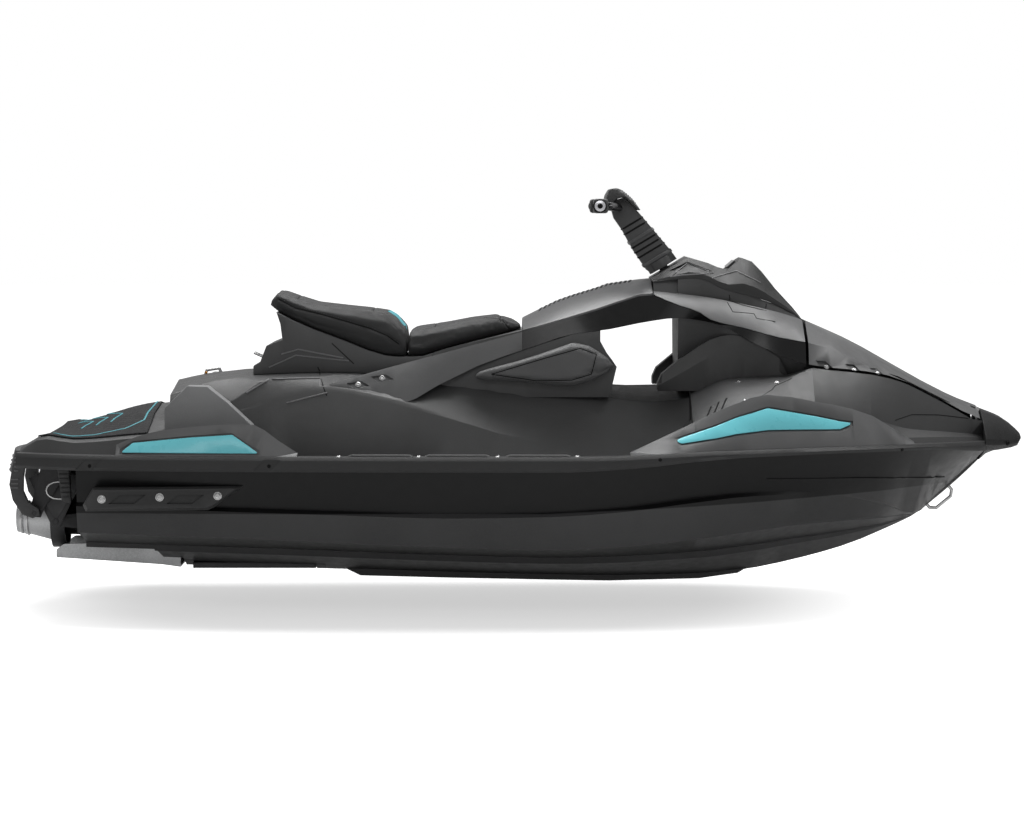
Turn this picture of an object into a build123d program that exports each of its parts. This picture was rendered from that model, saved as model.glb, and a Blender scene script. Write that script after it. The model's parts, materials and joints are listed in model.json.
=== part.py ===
from build123d import *
import math
import os

# Sport personal watercraft. Millimetres; +X forward, +Y to port, +Z up.
# Heights in this file are measured from the lowest point of the keel (the baseline),
# and every node is lowered by DRAFT when it is saved, so that z = 0 is the waterline.

# ---------------------------------------------------------------- driving dimensions
LENGTH = 3140.0          # stern of the boarding step to the tip of the nose
BEAM = 1130.0            # across the gunwale rails
DRAFT = 227.0            # waterline above the baseline, afloat and unladen
LINES_LENGTH = 3140.0    # length and beam of the lines plan below
LINES_BEAM = 1130.0

FLAT = 1e-6              # how far out of plane a facet's corners may lie
GAP = 0.5                # between a fixed panel and what it seats on
RUN = 5.0                # between pieces that move past each other

BOND_INSET = 16.0        # hull and deck flanges inside the rail
RAIL_LIP = 52.0          # rail's width over the deck edge
RAIL_SKIN = 8.0          # thickness of the rail over the deck edge

BOW_JOINT = 1446.0       # station where hull and deck end and the nose cap begins
STERN_EDGE = -1480.0     # station where deck and rails end over the transom
RAIL_RECESS = 4.0        # depth of the rail's lashing recesses
RAIL_PADS = ((-482, -291), (-256, -65), (-18, 173))
RAIL_PAD_HEIGHT = 6.0

FOOTWELL_FLOOR = 352.0
HULL_WALL = 12.0         # least thickness of the hull's side under the rail
FOOTWELL_WALL = 88.0     # from the beam line to the footwell's outer wall
FAIRING_INSIDE = 121.0   # from the beam line to just inside the front fairing

ENGINE = (620.0, 370.0, 360.0)
ENGINE_X = -150.0
ENGINE_FLOOR = 140.0
BAY_CLEAR = 20.0

KEEL_STRIP_HALF = 40.0
TUNNEL_FRONT = -1010.0   # pump tunnel's front wall
TUNNEL_CLEAR = 10.0      # from the pump housing's flange to the tunnel's sides
TRANSOM_X = -1291.0
GRATE = (-985.0, -605.0) # intake grate's ends
GRATE_HALF = 84.0
GRATE_TOP = 62.0
GRATE_BAR_R = 6.0
SHOE_WALL = 20.0         # intake shoe let into the hull's bottom
SHOE_END = 30.0          # shoe's length past the grate's front end

PUMP_Z = 192.0           # height of the jet pump's axis
DUCT_R = 78.0            # bore of the pump duct
DUCT_WALL = 12.0
DUCT_SIDES = 20          # facets round the intake duct
FLANGE = 26.0            # width of the pump housing's flange
TUNNEL_HALF = DUCT_R + DUCT_WALL + FLANGE + TUNNEL_CLEAR
IMPELLER_HUB_R = 34.0
IMPELLER_BLADES = 4
BLADE_STATIONS = 9
BLADE_TWIST = 100.0      # degrees from a blade's trailing edge to its leading edge
SHAFT_R = 12.0
SHAFT_HOLE_R = 18.0
GIMBAL_X = -1402.0       # centre about which the trim ring and nozzle turn
JET_R = 43.0             # bore of the fixed pump nozzle's lip
JET_WALL = 7.0
SOCKET_R = 66.0          # steering nozzle's hollow ball
NOZZLE_WALL = 7.0
BAND = 4.0               # height of the bands at the steering nozzle's outlet
NOZZLE_OUT_R = 34.0      # bore of the steering nozzle's outlet
NOZZLE_TAIL = 134.0      # gimbal centre to outlet
RING_WALL = 12.0
RING_HALF = 22.0
PIN_R = 8.0
PIN_GAP = 0.4
EAR = 8.0                # thickness of the pump's side ears
EYE_Y = 250.0            # stern tow eyes, each side of the centreline
EYE_R = 3.0              # their rod
PLUG_R = 15.0            # drain plugs in the transom
STERN_STEP = (-1062.0, 128.0)   # where the planing bottom ends, and the height behind it
BUCKET_ARM = 6.0
BUCKET_R = 150.0         # inside of the reverse bucket's shell
BUCKET_SPAN = 32.0       # degrees of shell each side of its middle
STEP_HINGE = (-1460.0, 222.0)
STEP_ARM = 26.0
STEP_PIN_R = 7.0
BRACKET = 10.0           # thickness of the boarding step's brackets

STEERING_TILT = 31.0     # steering axis back from vertical, degrees
STEERING_X = 467.0
STEERING_Z = 972.0
COLLAR_R = 46.0
STEM_R = 14.0
BAR_R = 11.1
BAR_HALF = 372.0
GRIP_R = 17.0
GRIP_LENGTH = 126.0
SOFT_GAP = 0.3

INSERT_IN = 7.0
INSERT_OUT = 1.5
INSERT_BORDER = 8.0      # recess round each coloured insert
BORDER_DEPTH = 4.0
SADDLE_HALF = 165.0      # pedestal and console under the seat
CONSOLE_FOOT = (150.0, 600.0)   # where the console's side meets the foredeck
KNEE_HALF = 210.0
KNEE_PAD = 45.0
SKIN = 14.0              # thickness of the outer side panels
PANEL_POCKET = 5.0       # screw pockets at the spar's rear end
HOOD_HINGE = (1438.0, 533.0)
HOOD_REAR = 897.0
HOOD_GAP = 8.0           # from the hood's lower edge to the coaming under it
COAMING = 28.0           # width of that coaming's inner slope
HOOD_SKIN = 10.0
COWL_POCKET = 3.0        # triangular facet in the cowl's side
GILL_DEPTH = 6.0         # screw pockets along the hood's lower edge
SEAT_SPLIT = -240.0      # station where the pedestal meets the console
SPAR_SPLIT = 31.0        # station where the rear and front spar panels meet
HINGE_PIN_R = 3.0
HINGE_R = 6.5
HINGE_MID = 34.0         # centreline to the middle of each fixed ear
HINGE_EAR = 9.0
HINGE_KNUCKLE = 24.0
BIN = (930.0, 1200.0)
BIN_HALF = 125.0
BIN_FLOOR = 436.0
BIN_WALL = 5.0


# ---------------------------------------------------------------- helpers
def through(points):
    """A smooth function through (x, value) points that doesn't overshoot between them."""
    xs = [p[0] for p in points]
    vs = [p[1] for p in points]
    steps = [xs[i + 1] - xs[i] for i in range(len(xs) - 1)]
    slopes = [(vs[i + 1] - vs[i]) / steps[i] for i in range(len(steps))]
    tangents = [slopes[0]]
    for i in range(1, len(slopes)):
        a, b = slopes[i - 1], slopes[i]
        tangents.append(0.0 if a * b <= 0 else 2 * a * b / (a + b))
    tangents.append(slopes[-1])

    def value(x):
        x = min(max(x, xs[0]), xs[-1])
        i = max(k for k in range(len(steps)) if x >= xs[k])
        h = steps[i]
        t = (x - xs[i]) / h
        return (
            vs[i] * (1 + 2 * t) * (1 - t) ** 2
            + tangents[i] * h * t * (1 - t) ** 2
            + vs[i + 1] * t * t * (3 - 2 * t)
            + tangents[i + 1] * h * t * t * (t - 1)
        )

    return value


def sx(x):
    """A station of the lines plan at this length."""
    return x * LENGTH / LINES_LENGTH


def sy(y):
    """A half-breadth of the lines plan at this beam."""
    return y * BEAM / LINES_BEAM


def faceted(rings):
    """A closed solid of flat facets through rings of matching points, port side mirrored."""
    faces = [Face(Wire.make_polygon(rings[0], close=True)),
             Face(Wire.make_polygon(rings[-1], close=True))]
    for near, far in zip(rings, rings[1:]):
        for i in range(len(near)):
            j = (i + 1) % len(near)
            a, b, c, d = [Vector(*p) for p in (near[i], near[j], far[j], far[i])]
            lift = (b - a).cross(c - a).normalized().dot(d - a)
            if abs(lift) < FLAT:
                corners = [(a, b, c, d)]
            elif (c - a).length < (d - b).length:
                corners = [(a, b, c), (a, c, d)]
            else:
                corners = [(a, b, d), (b, c, d)]
            faces += [Face(Wire.make_polygon(points, close=True)) for points in corners]
    return Solid(Shell(faces))


def hull_form(stations):
    """A symmetric body through (x, half section) stations, bottom centre to top centre."""
    rings = []
    for x, half in stations:
        right = [(sx(x), -sy(y), z) for y, z in half]
        left = [(sx(x), sy(y), z) for y, z in reversed(half) if y > 0]
        rings.append(right + left)
    return faceted(rings)


def side_form(stations):
    """A starboard body through (x, closed outline of (outboard distance, z)) stations."""
    return faceted([[(sx(x), -sy(y), z) for y, z in outline] for x, outline in stations])


def plate(outline, y_in, y_out):
    """A starboard slab of an (x, z) outline between two distances from the centreline."""
    points = [(sx(x), -sy(y_in), z) for x, z in outline]
    face = Face(Wire.make_polygon(points, close=True))
    return Solid.extrude(face, Vector(0, -(sy(y_out) - sy(y_in)), 0))


def wide(outline, half):
    """A slab of an (x, z) outline across the centreline."""
    points = [(sx(x), -sy(half), z) for x, z in outline]
    face = Face(Wire.make_polygon(points, close=True))
    return Solid.extrude(face, Vector(0, 2 * sy(half), 0))


def cheek(outline, y_in, y_out):
    """A starboard slab of hardware, which keeps its size whatever the length and beam."""
    face = Face(Wire.make_polygon([(x, -y_in, z) for x, z in outline], close=True))
    return Solid.extrude(face, Vector(0, y_in - y_out, 0))


def across(outline, half):
    """A slab of hardware across the centreline."""
    face = Face(Wire.make_polygon([(x, -half, z) for x, z in outline], close=True))
    return Solid.extrude(face, Vector(0, 2 * half, 0))


def stern_shift():
    """How far the transom, and the hardware hung from it, moves with the length."""
    return sx(TRANSOM_X) - TRANSOM_X


def aft(shape):
    """Hardware placed from the transom."""
    return Pos(stern_shift(), 0, 0) * shape


def at_helm(shape):
    """Hardware placed from the steering head."""
    return Pos(sx(STEERING_X) - STEERING_X, 0, 0) * shape


def overhang(shape):
    """Gear hung from the platform's stern edge."""
    return Pos(sx(STERN_EDGE) - STERN_EDGE, 0, 0) * shape


def short_of(x):
    """The station that lies a seam's width behind this one."""
    return x - GAP * LINES_LENGTH / LENGTH


def recess(outline, surface, depth):
    """A starboard pocket of an (x, z) outline, this deep into a side that bows gently."""
    low, high = min(x for x, z in outline), max(x for x, z in outline)
    slope = (surface(high) - surface(low)) / (high - low)
    rings = []
    for out in (-depth, 2 * depth):
        rings.append([(sx(x), -sy(surface(low) + slope * (x - low)) - out, z) for x, z in outline])
    return faceted(rings)


def pocket(form, outline, depth):
    """A starboard pocket of an (x, z) outline that follows a form's surface at this depth."""
    return plate(outline, 0, BEAM / 2) - Pos(0, depth, 0) * form


def rod(points, radius):
    """A round bar bent through points."""
    body = tube(points[0], points[1], radius)
    for a, b in zip(points[1:], points[2:]):
        body = body + Pos(*a) * Sphere(radius) + tube(a, b, radius)
    return body


def port(shape):
    """The port twin of a starboard shape."""
    return shape.mirror(Plane.XZ)


def tube(start, end, radius, bore=0.0):
    """A round bar or pipe between two points."""
    a, b = Vector(*start), Vector(*end)
    plane = Plane(origin=a, z_dir=(b - a).normalized())
    body = Solid.make_cylinder(radius, (b - a).length, plane)
    if bore:
        body = body - Solid.make_cylinder(bore, (b - a).length, plane)
    return body


def block(x0, x1, half, z0, z1):
    """A box across the centreline."""
    size = (x1 - x0, 2 * half, z1 - z0)
    return Pos((x0 + x1) / 2, 0, (z0 + z1) / 2) * Box(*size)


NODES = {}


def save(name, *shapes):
    """Keeps a node's solids, in the order they are written."""
    solids = [s for shape in shapes for s in shape.solids()]
    NODES[name] = solids
    return shapes[0] if len(shapes) == 1 else Compound(children=solids)


# ---------------------------------------------------------------- lines plan
# Half-breadth of the rail, height of the bond line and height of the rail's top.
beam_line = through([(-1480, 395), (-1400, 440), (-1250, 495), (-1000, 530), (-700, 550),
                     (-300, 562), (100, 565), (400, 560), (650, 540), (850, 500), (1000, 448),
                     (1150, 378), (1300, 285), (1420, 190), (1500, 115), (1574, 40)])
bond_line = through([(-1480, 381), (135, 381), (369, 393), (545, 412), (721, 424),
                     (1000, 430), (1240, 430), (1478, 414), (1574, 416)])
rail_top = through([(-1480, 424), (250, 424), (371, 428), (600, 440), (1000, 447), (1574, 440)])

# The deck's underside sinks below the bond line between the flanges.
deck_low = through([(-1480, 377), (-1291, 377), (-1180, 340), (560, 340), (720, 400),
                    (1000, 422), (1240, 424), (1470, 411)])

# Lower hull: keel, chine and knuckle.
keel_z = through([(-1291, 58), (-1080, 50), (-573, 36), (-199, 24), (112, 16), (299, 13),
                  (579, 18), (735, 36), (890, 69), (1046, 114), (1139, 153), (1241, 197),
                  (1309, 248), (1426, 352), (1470, 398)])
chine_y = through([(-1291, 438), (-900, 462), (-400, 475), (0, 478), (314, 470), (549, 440),
                   (735, 380), (890, 300), (1046, 195), (1139, 120), (1241, 16), (1470, 9)])
chine_z = through([(-1291, 192), (-930, 181), (-634, 170), (-338, 157), (-41, 147), (136, 144),
                   (314, 152), (549, 172), (735, 192), (890, 204), (1046, 205), (1139, 203),
                   (1241, 203), (1309, 254), (1426, 358), (1470, 402)])
knuckle_y = through([(-1291, 466), (-900, 490), (-400, 503), (0, 506), (314, 500), (549, 478),
                     (735, 432), (890, 365), (1046, 262), (1139, 172), (1241, 26), (1470, 13)])
knuckle_z = through([(-1291, 272), (-779, 256), (-484, 247), (-189, 239), (106, 243),
                     (313, 256), (549, 284), (696, 298), (844, 302), (991, 288), (1139, 248),
                     (1241, 209), (1309, 262), (1426, 366), (1470, 405)])
ledge = through([(-1291, -16), (500, -14), (800, -2), (1000, 12), (1200, 14), (1300, 6),
                 (1470, 3)])


def deck_edge(x):
    """Side of the deck's underside, HULL_WALL inside the hull's outer face at that height."""
    edge = beam_line(x) - BOND_INSET
    side = through([(knuckle_z(x), knuckle_y(x) + ledge(x)), (bond_line(x), edge - 8)])
    return min(edge - 44, side(deck_low(x)) - HULL_WALL)


def hull_half(x):
    """Half section of the hull, keel to bond line."""
    keel, chine, knuckle = keel_z(x), (chine_y(x), chine_z(x)), (knuckle_y(x), knuckle_z(x))
    flat = min(30.0, 0.25 * chine[0])
    bottom = through([(flat, keel + 1), (chine[0] - 0.06 * chine[0], chine[1])])
    strake = 0.52 * chine[0]
    wide_step = 0.05 * chine[0]
    top = beam_line(x) - BOND_INSET - 8
    return [
        (0, keel),
        (flat, keel + 1),
        (strake, bottom(strake)),
        (strake + wide_step, bottom(strake) - 0.2 * wide_step),
        (strake + 1.15 * wide_step, bottom(strake + wide_step) + 0.3 * wide_step),
        (0.94 * chine[0], chine[1]),
        (chine[0], chine[1] - 0.004 * chine[0]),
        (chine[0] + 0.012 * chine[0], chine[1] + 0.035 * chine[0]),
        knuckle,
        (max(knuckle[0] + ledge(x), 4), knuckle[1] + 0.02 * knuckle[0] + 1),
        (max(top, knuckle[0] + 2), bond_line(x) - GAP),
        (beam_line(x) - BOND_INSET - 12, bond_line(x) - GAP),
        (deck_edge(x), deck_low(x) - GAP),
        (0, deck_low(x) - GAP),
    ]


# Stations that hull, deck, rails and fairings share, so their seams stay parallel.
PLATFORM_STATIONS = [-1480, -1456, -1425, -1390, -1350, -1312, TRANSOM_X, -1240, -1190, -1170,
                     -1130, -1085, -1036]
FOOTWELL_STATIONS = [-1035, -990, -943, -900, -860, -824, -760, -728, -691, -632, -580, -540,
                     -480, -400, -352, -270, -193, -120, -40, 40, 110, 169, 230, 300, 349, 430,
                     500, 540]
FOREDECK_STATIONS = [541, 570, 600, 630, 661, 710, 757, 830, 905, 960, 1020, 1083, 1140, 1180,
                     1210, 1241, 1270, 1300, 1340, 1380, 1412, BOW_JOINT]
ALL_STATIONS = PLATFORM_STATIONS + FOOTWELL_STATIONS + FOREDECK_STATIONS


def stations(low, high):
    """The shared stations from one place to another."""
    return [x for x in ALL_STATIONS if low <= x <= high]


def build_hull():
    """Lower hull, solid but for engine bay and pump tunnel, and the shoe let into it."""
    hull = hull_form([(x, hull_half(x)) for x in stations(TRANSOM_X, BOW_JOINT)])
    keel = wide([(-560, 60), (-470, 16), (-199, 9), (112, 3), (299, 0), (579, 7), (700, 24),
                 (760, 60)], KEEL_STRIP_HALF)
    x, z = STERN_STEP
    step = across([(x, -20), (x, z - 68), (x - 22, z - 6), (TRANSOM_X - 20, z),
                   (TRANSOM_X - 20, -20)], BEAM)
    tunnel = block(TRANSOM_X - 10, TUNNEL_FRONT, TUNNEL_HALF, -10, PUMP_Z + TUNNEL_HALF)
    shaft_hole = tube((TUNNEL_FRONT - 5, 0, PUMP_Z), (ENGINE_X - stern_shift(), 0, PUMP_Z),
                      SHAFT_HOLE_R)
    grate_seat = block(GRATE[0], GRATE[1], GRATE_HALF, -10, GRATE_TOP)
    body = hull + keel - aft(step)
    shoe = body & aft(shoe_block(0))
    shoe = shoe - aft(intake_duct()) - aft(grate_seat) - aft(shaft_hole)
    body = body - engine_bay() - aft(tunnel) - aft(shoe_block(GAP)) - aft(shaft_hole)
    return body, shoe


def shoe_block(clear):
    """Space of the intake shoe, grown by a clearance."""
    return block(TUNNEL_FRONT - clear, GRATE[1] + SHOE_END + clear,
                 GRATE_HALF + SHOE_WALL + clear, -20, PUMP_Z + DUCT_R + SHOE_WALL + clear)


def engine_bay():
    half_x, half_y = ENGINE[0] / 2 + BAY_CLEAR, ENGINE[1] / 2 + BAY_CLEAR
    top = ENGINE_FLOOR + ENGINE[2] + BAY_CLEAR
    return block(ENGINE_X - half_x, ENGINE_X + half_x, half_y, ENGINE_FLOOR - GAP, top)


def intake_duct():
    """Round passage that leans over from the pump's inlet to the long opening in the keel."""
    rings = [
        (TUNNEL_FRONT - 2, 90.0, PUMP_Z, DUCT_R, DUCT_R),
        (TUNNEL_FRONT + 80, 75.0, PUMP_Z - 27, DUCT_R, DUCT_R + 6),
        (TUNNEL_FRONT + 168, 35.0, 88.0, DUCT_R - 4, 125.0),
        ((GRATE[0] + GRATE[1]) / 2, 0.0, -12.0, DUCT_R - 8, 172.0),
    ]
    outlines = []
    for x, lean, z, half_y, half_long in rings:
        t = math.radians(lean)
        points = []
        for k in range(DUCT_SIDES):
            a = math.tau * k / DUCT_SIDES
            u, v = half_y * math.cos(a), half_long * math.sin(a)
            points.append((x + v * math.cos(t), u, z + v * math.sin(t)))
        outlines.append(points)
    return faceted(outlines)


# ---------------------------------------------------------------- deck
def deck_half(x, points):
    """Half section of the deck: flange under the rail, then the given inner points."""
    edge = beam_line(x) - BOND_INSET
    top = rail_top(x) - RAIL_SKIN - GAP
    return [(0, deck_low(x)), (deck_edge(x), deck_low(x)), (edge - 12, bond_line(x)),
            (edge, bond_line(x)), (edge, top)] + points


def platform_half(x):
    """Boarding platform at the stern, crowned towards the middle."""
    beam = beam_line(x)
    edge_z = through([(-1480, 434), (-1401, 472), (-1312, 463), (-1134, 478), (-1035, 486)])(x)
    crown = through([(-1480, 434), (-1456, 443), (-1285, 499), (-1130, 543), (-1035, 556)])(x)
    return deck_half(x, [
        (beam - RAIL_LIP - 14, rail_top(x) - RAIL_SKIN - GAP),
        (beam - RAIL_LIP - 32, edge_z - 8),
        (beam - RAIL_LIP - 60, edge_z),
        (0.62 * beam, 0.75 * edge_z + 0.25 * crown),
        (0.38 * beam, 0.3 * edge_z + 0.7 * crown),
        (0, crown),
    ])


saddle_crease = (
    through([(-1035, 318), (-824, 300), (-553, 300), (-352, 296), (18, 284), (364, 272),
             (540, 290)]),
    through([(-1035, 470), (-900, 520), (-824, 541), (-553, 601), (-352, 562), (-193, 522),
             (18, 456), (169, 411), (300, 388), (440, 388), (540, 430)]),
)
saddle_band = (
    through([(-1035, 314), (-824, 293), (-553, 290), (-352, 287), (18, 276), (364, 264),
             (540, 282)]),
    through([(-1035, 474), (-824, 549), (-569, 619), (-352, 578), (18, 466), (364, 394),
             (540, 438)]),
)
saddle_ledge = (
    through([(-1035, 306), (-850, 292), (-736, 262), (-579, 252), (-352, 250), (18, 236),
             (364, 224), (540, 245)]),
    through([(-1035, 486), (-850, 568), (-736, 637), (-579, 644), (-540, 616), (-352, 598),
             (-193, 574), (18, 538), (169, 508), (364, 478), (540, 504)]),
)
saddle_shoulder = (
    through([(-1035, 240), (-824, 200), (-553, 210), (-193, 195), (169, 185), (440, 176),
             (540, 200)]),
    through([(-1035, 590), (-900, 630), (-824, 640), (-553, 650), (-352, 641), (-193, 630),
             (18, 622), (169, 606), (364, 568), (440, 564), (540, 578)]),
)
saddle_crown = through([(-1035, 622), (-943, 642), (-881, 649), (-788, 658), (-553, 661),
                        (-352, 655), (-193, 641), (18, 628), (169, 618), (364, 606),
                        (540, 612)])
saddle_foot = through([(-1035, 352), (-824, 338), (-553, 345), (-193, 338), (169, 322),
                       (440, 312), (540, 318)])


def footwell_half(x):
    """Tray whose sides are the footwells and whose middle carries the saddle."""
    beam = beam_line(x)
    foot = saddle_foot(x)
    return deck_half(x, [
        (beam - RAIL_LIP - 18, rail_top(x) - RAIL_SKIN - GAP),
        (beam - FOOTWELL_WALL, FOOTWELL_FLOOR),
        (foot, FOOTWELL_FLOOR),
        (0.7 * foot, FOOTWELL_FLOOR),
        (0.35 * foot, FOOTWELL_FLOOR),
        (0, FOOTWELL_FLOOR),
    ])


def saddle_half(x):
    """Raised middle between the footwells."""
    return [(0, FOOTWELL_FLOOR + GAP), (saddle_foot(x), FOOTWELL_FLOOR + GAP),
            (saddle_crease[0](x), saddle_crease[1](x)), (saddle_band[0](x), saddle_band[1](x)),
            (saddle_ledge[0](x), saddle_ledge[1](x)),
            (saddle_shoulder[0](x), saddle_shoulder[1](x)), (0, saddle_crown(x))]


def saddle_form():
    """Saddle between the platform's front edge and the foredeck's rear edge."""
    low, high = FOOTWELL_STATIONS[0], FOOTWELL_STATIONS[-1]
    ends = [low + GAP] + FOOTWELL_STATIONS[1:-1] + [high - GAP]
    return hull_form([(x, saddle_half(x)) for x in ends])


def coaming(x):
    """Top of the coaming round the bin, a running gap under the hood's lower edge."""
    return spar_low[0](x) + 1, spar_low[1](x) - HOOD_GAP


def foredeck_half(x):
    """Foredeck under the console, the hood and the front fairings."""
    beam = beam_line(x)
    edge = through([(540, 462), (661, 474), (900, 474), (1050, 468), (1200, 462),
                    (1340, 458), (1470, 448)])(x)
    y1 = through([(540, 400), (661, 412), (757, 398), (830, 380), (900, 372), (1050, 306),
                  (1200, 226), (1340, 150), (1470, 66)])(x)
    z1 = through([(540, 505), (661, 562), (757, 592), (830, 584), (900, 570), (1050, 534),
                  (1200, 486), (1340, 470), (1470, 455)])(x)
    crown = through([(540, 612), (661, 646), (900, 646), (1050, 604), (1200, 548),
                     (1340, 499), (1470, 464)])(x)
    if x > HOOD_REAR:
        y2, z2 = coaming(x)
        y3, z3 = y2 - COAMING, crown + 2
    else:
        y2 = through([(540, 350), (661, 330), (757, 310), (830, 285)])(x)
        z2 = through([(540, 525), (661, 604), (757, 622), (830, 640)])(x)
        y3 = through([(540, 230), (661, 228), (830, 235)])(x)
        z3 = through([(540, 590), (661, 640), (830, 648)])(x)
    return deck_half(x, [
        (beam - min(RAIL_LIP, 0.3 * beam) - 4, rail_top(x) - RAIL_SKIN - GAP),
        (beam - min(RAIL_LIP + 18, 0.42 * beam), edge),
        (y1, z1), (y2, z2), (y3, z3), (0, crown),
    ])


def deck_part(low, high):
    """The deck's moulding between two shared stations."""
    sections = []
    for x in stations(low, high):
        if x in PLATFORM_STATIONS:
            sections.append((x, platform_half(x)))
        elif x in FOOTWELL_STATIONS:
            sections.append((x, footwell_half(x)))
        else:
            sections.append((x, foredeck_half(x)))
    return hull_form(sections)


def above_deck(shape, low, high):
    """The part of a shape that stands clear of the deck and saddle between two stations."""
    shape = shape - Pos(0, 0, GAP) * deck_part(low, high)
    if low < FOOTWELL_STATIONS[-1] and high > FOOTWELL_STATIONS[0]:
        shape = shape - Pos(0, 0, GAP) * saddle_form()
    return shape


ramp_top = through([(402, 356), (430, 386), (470, 428), (500, 460), (541, 504)])


def build_ramp():
    """Sloping front wall of a footwell, beside the saddle and inside the front fairing."""
    form = []
    for x in (402, 430, 470, 500, 541):
        top, beam = ramp_top(x), beam_line(x)
        ledge_z = min(top, rail_top(x) - RAIL_SKIN - 1)
        inside = beam - FAIRING_INSIDE
        form.append((x, [(200, FOOTWELL_FLOOR), (beam - FOOTWELL_WALL, FOOTWELL_FLOOR),
                         (beam - FOOTWELL_WALL, ledge_z), (inside, ledge_z + 0.5),
                         (inside, max(top, ledge_z + 1)), (200, max(top, ledge_z + 1) + 14)]))
    return side_form(form) - Pos(0, -GAP, 0) * saddle_form()


def build_deck():
    ramp = build_ramp()
    well = block(sx(BIN[0]) - GAP, sx(BIN[1]) + GAP, BIN_HALF + GAP, BIN_FLOOR - GAP, 700)
    return deck_part(STERN_EDGE, BOW_JOINT) + ramp + port(ramp) - engine_bay() - well


# ---------------------------------------------------------------- rail, nose and fairings
def rail_section(x):
    """Rubbing band that wraps the hull and deck flanges."""
    beam, low, top = beam_line(x), bond_line(x) - 2, rail_top(x)
    lip = min(RAIL_LIP, 0.26 * beam)
    inner = beam - BOND_INSET + GAP
    return [(inner, low), (beam - 5, low), (beam, low + 9), (beam, top - 11),
            (beam - 9, top), (beam - lip, top), (beam - lip, top - RAIL_SKIN),
            (inner, top - RAIL_SKIN)]


def build_rails():
    rail = side_form([(x, rail_section(x)) for x in stations(STERN_EDGE, BOW_JOINT)])
    for x, z in ((-1293, 379), (-762, 381)):
        outline = [(x, z), (x + 52, z), (x + 84, z + 34), (x + 32, z + 34)]
        rail = rail - recess(outline, beam_line, RAIL_RECESS)
    return rail


def build_rail_pads():
    """Raised pads between the screws on the rail's top."""
    pads = []
    for rear, front in RAIL_PADS:
        form = []
        for x, height in ((rear, 2), (rear + 12, RAIL_PAD_HEIGHT), (front - 12, RAIL_PAD_HEIGHT),
                          (front, 2)):
            beam, low = beam_line(x), rail_top(x) + GAP
            form.append((x, [(beam - 48, low), (beam - 14, low), (beam - 18, low + height),
                             (beam - 44, low + height)]))
        pads.append(side_form(form))
    return pads


def nose_half(x):
    """Cap that carries the stem's line up to the tip."""
    beam = beam_line(x)
    top = through([(1446, 536), (1508, 511), (1550, 482), (1574, 458)])(x)
    stem = through([(1446, 373), (1478, 404), (1509, 411), (1559, 417), (1574, 438)])(x)
    low = through([(1446, 413), (1478, 411), (1509, 413), (1559, 419), (1574, 441)])(x)
    tall = top - low
    return [(0, stem), (0.12 * beam, stem + 1), (0.86 * beam, low), (beam, low + 0.15 * tall),
            (beam, low + 0.3 * tall), (0.72 * beam, low + 0.62 * tall),
            (0.3 * beam, low + 0.94 * tall), (0, top)]


def fairing_front(x):
    """Faceted shoulder that closes the bow's side above the rail."""
    ridge = through([(349, 432), (521, 512), (654, 572), (757, 601), (905, 578), (1062, 540),
                     (1110, 514), (1165, 480), (1210, 454)])(x)
    base = rail_top(x) + GAP
    beam = beam_line(x)
    outer = beam - 14
    width = min(70, 0.20 * beam)
    ridge = max(ridge, base + 3)
    return [(outer - 90 * min(1, beam / 500), base), (outer, base),
            (outer - width, ridge), (outer - width - 34, ridge - 3)]


def fairing_rear(x):
    """Low bulwark at the side of the boarding platform."""
    ridge = through([(-1170, 455), (-1130, 472), (-1030, 499), (-824, 517), (-765, 517),
                     (-691, 472), (-632, 434)])(x)
    base = rail_top(x) + GAP
    beam = beam_line(x)
    ridge = max(ridge, base + 3)
    return [(beam - RAIL_LIP, base), (beam - 14, base), (beam - 40, ridge),
            (beam - RAIL_LIP, ridge - 3)]


# Where each coloured insert lies on its fairing: (x, lower edge, upper edge).
FRONT_INSERT = ((487, 466, 471), (500, 461, 477), (600, 476, 510), (661, 488, 534),
                (757, 499, 562), (830, 499, 549), (905, 498, 535), (976, 497, 519),
                (1009, 509, 514))
REAR_INSERT = ((-1150, 433, 437), (-1120, 433, 461), (-1035, 433, 470), (-943, 433, 479),
               (-824, 433, 487), (-780, 433, 458), (-750, 433, 437))


def on_fairing(fairing, x, low, high, inside, outside):
    """Outline of a slab between two heights and two depths of a fairing's outer face."""
    (y0, z0), (y1, z1) = fairing(x)[1:3]
    slope = (y1 - y0) / max(z1 - z0, 1)
    at_low, at_high = y0 + slope * (low - z0), y0 + slope * (high - z0)
    return [(at_low - inside, low), (at_low + outside, low),
            (at_high + outside, high), (at_high - inside, high)]


def build_insert(fairing, places):
    """A coloured insert, and the cut that seats it inside its recessed border."""
    insert = side_form([(x, on_fairing(fairing, x, low, high, INSERT_IN, INSERT_OUT))
                        for x, low, high in places])
    wider = [(x + (INSERT_BORDER if k else -INSERT_BORDER) * (k in (0, len(places) - 1)),
              low - INSERT_BORDER * 0.6, high + INSERT_BORDER * 0.6)
             for k, (x, low, high) in enumerate(places)]
    border = side_form([(x, on_fairing(fairing, x, low, high, BORDER_DEPTH, 30))
                        for x, low, high in wider])
    return insert, border + insert


def build_fairings():
    front = side_form([(x, fairing_front(x)) for x in stations(349, 1210)])
    rear = side_form([(x, fairing_rear(x)) for x in stations(-1170, -632)])
    return front, rear


# ---------------------------------------------------------------- saddle and seat
seat_base = through([(-745, 858), (-712, 834), (-530, 758), (-347, 701), (-271, 703),
                     (-225, 719), (33, 782)])


SEAT_STATIONS = [-743, -718, -670, -600, -508, -440, -384, -345, -322, -318, -271, SEAT_SPLIT, -198,
                  -120, -43, 3, 30]


def seat_line(low, high):
    """Points just under the cushions, from the front to the rear."""
    return [(x, seat_base(x) - GAP) for x in reversed(SEAT_STATIONS) if low <= x <= high]


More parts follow.
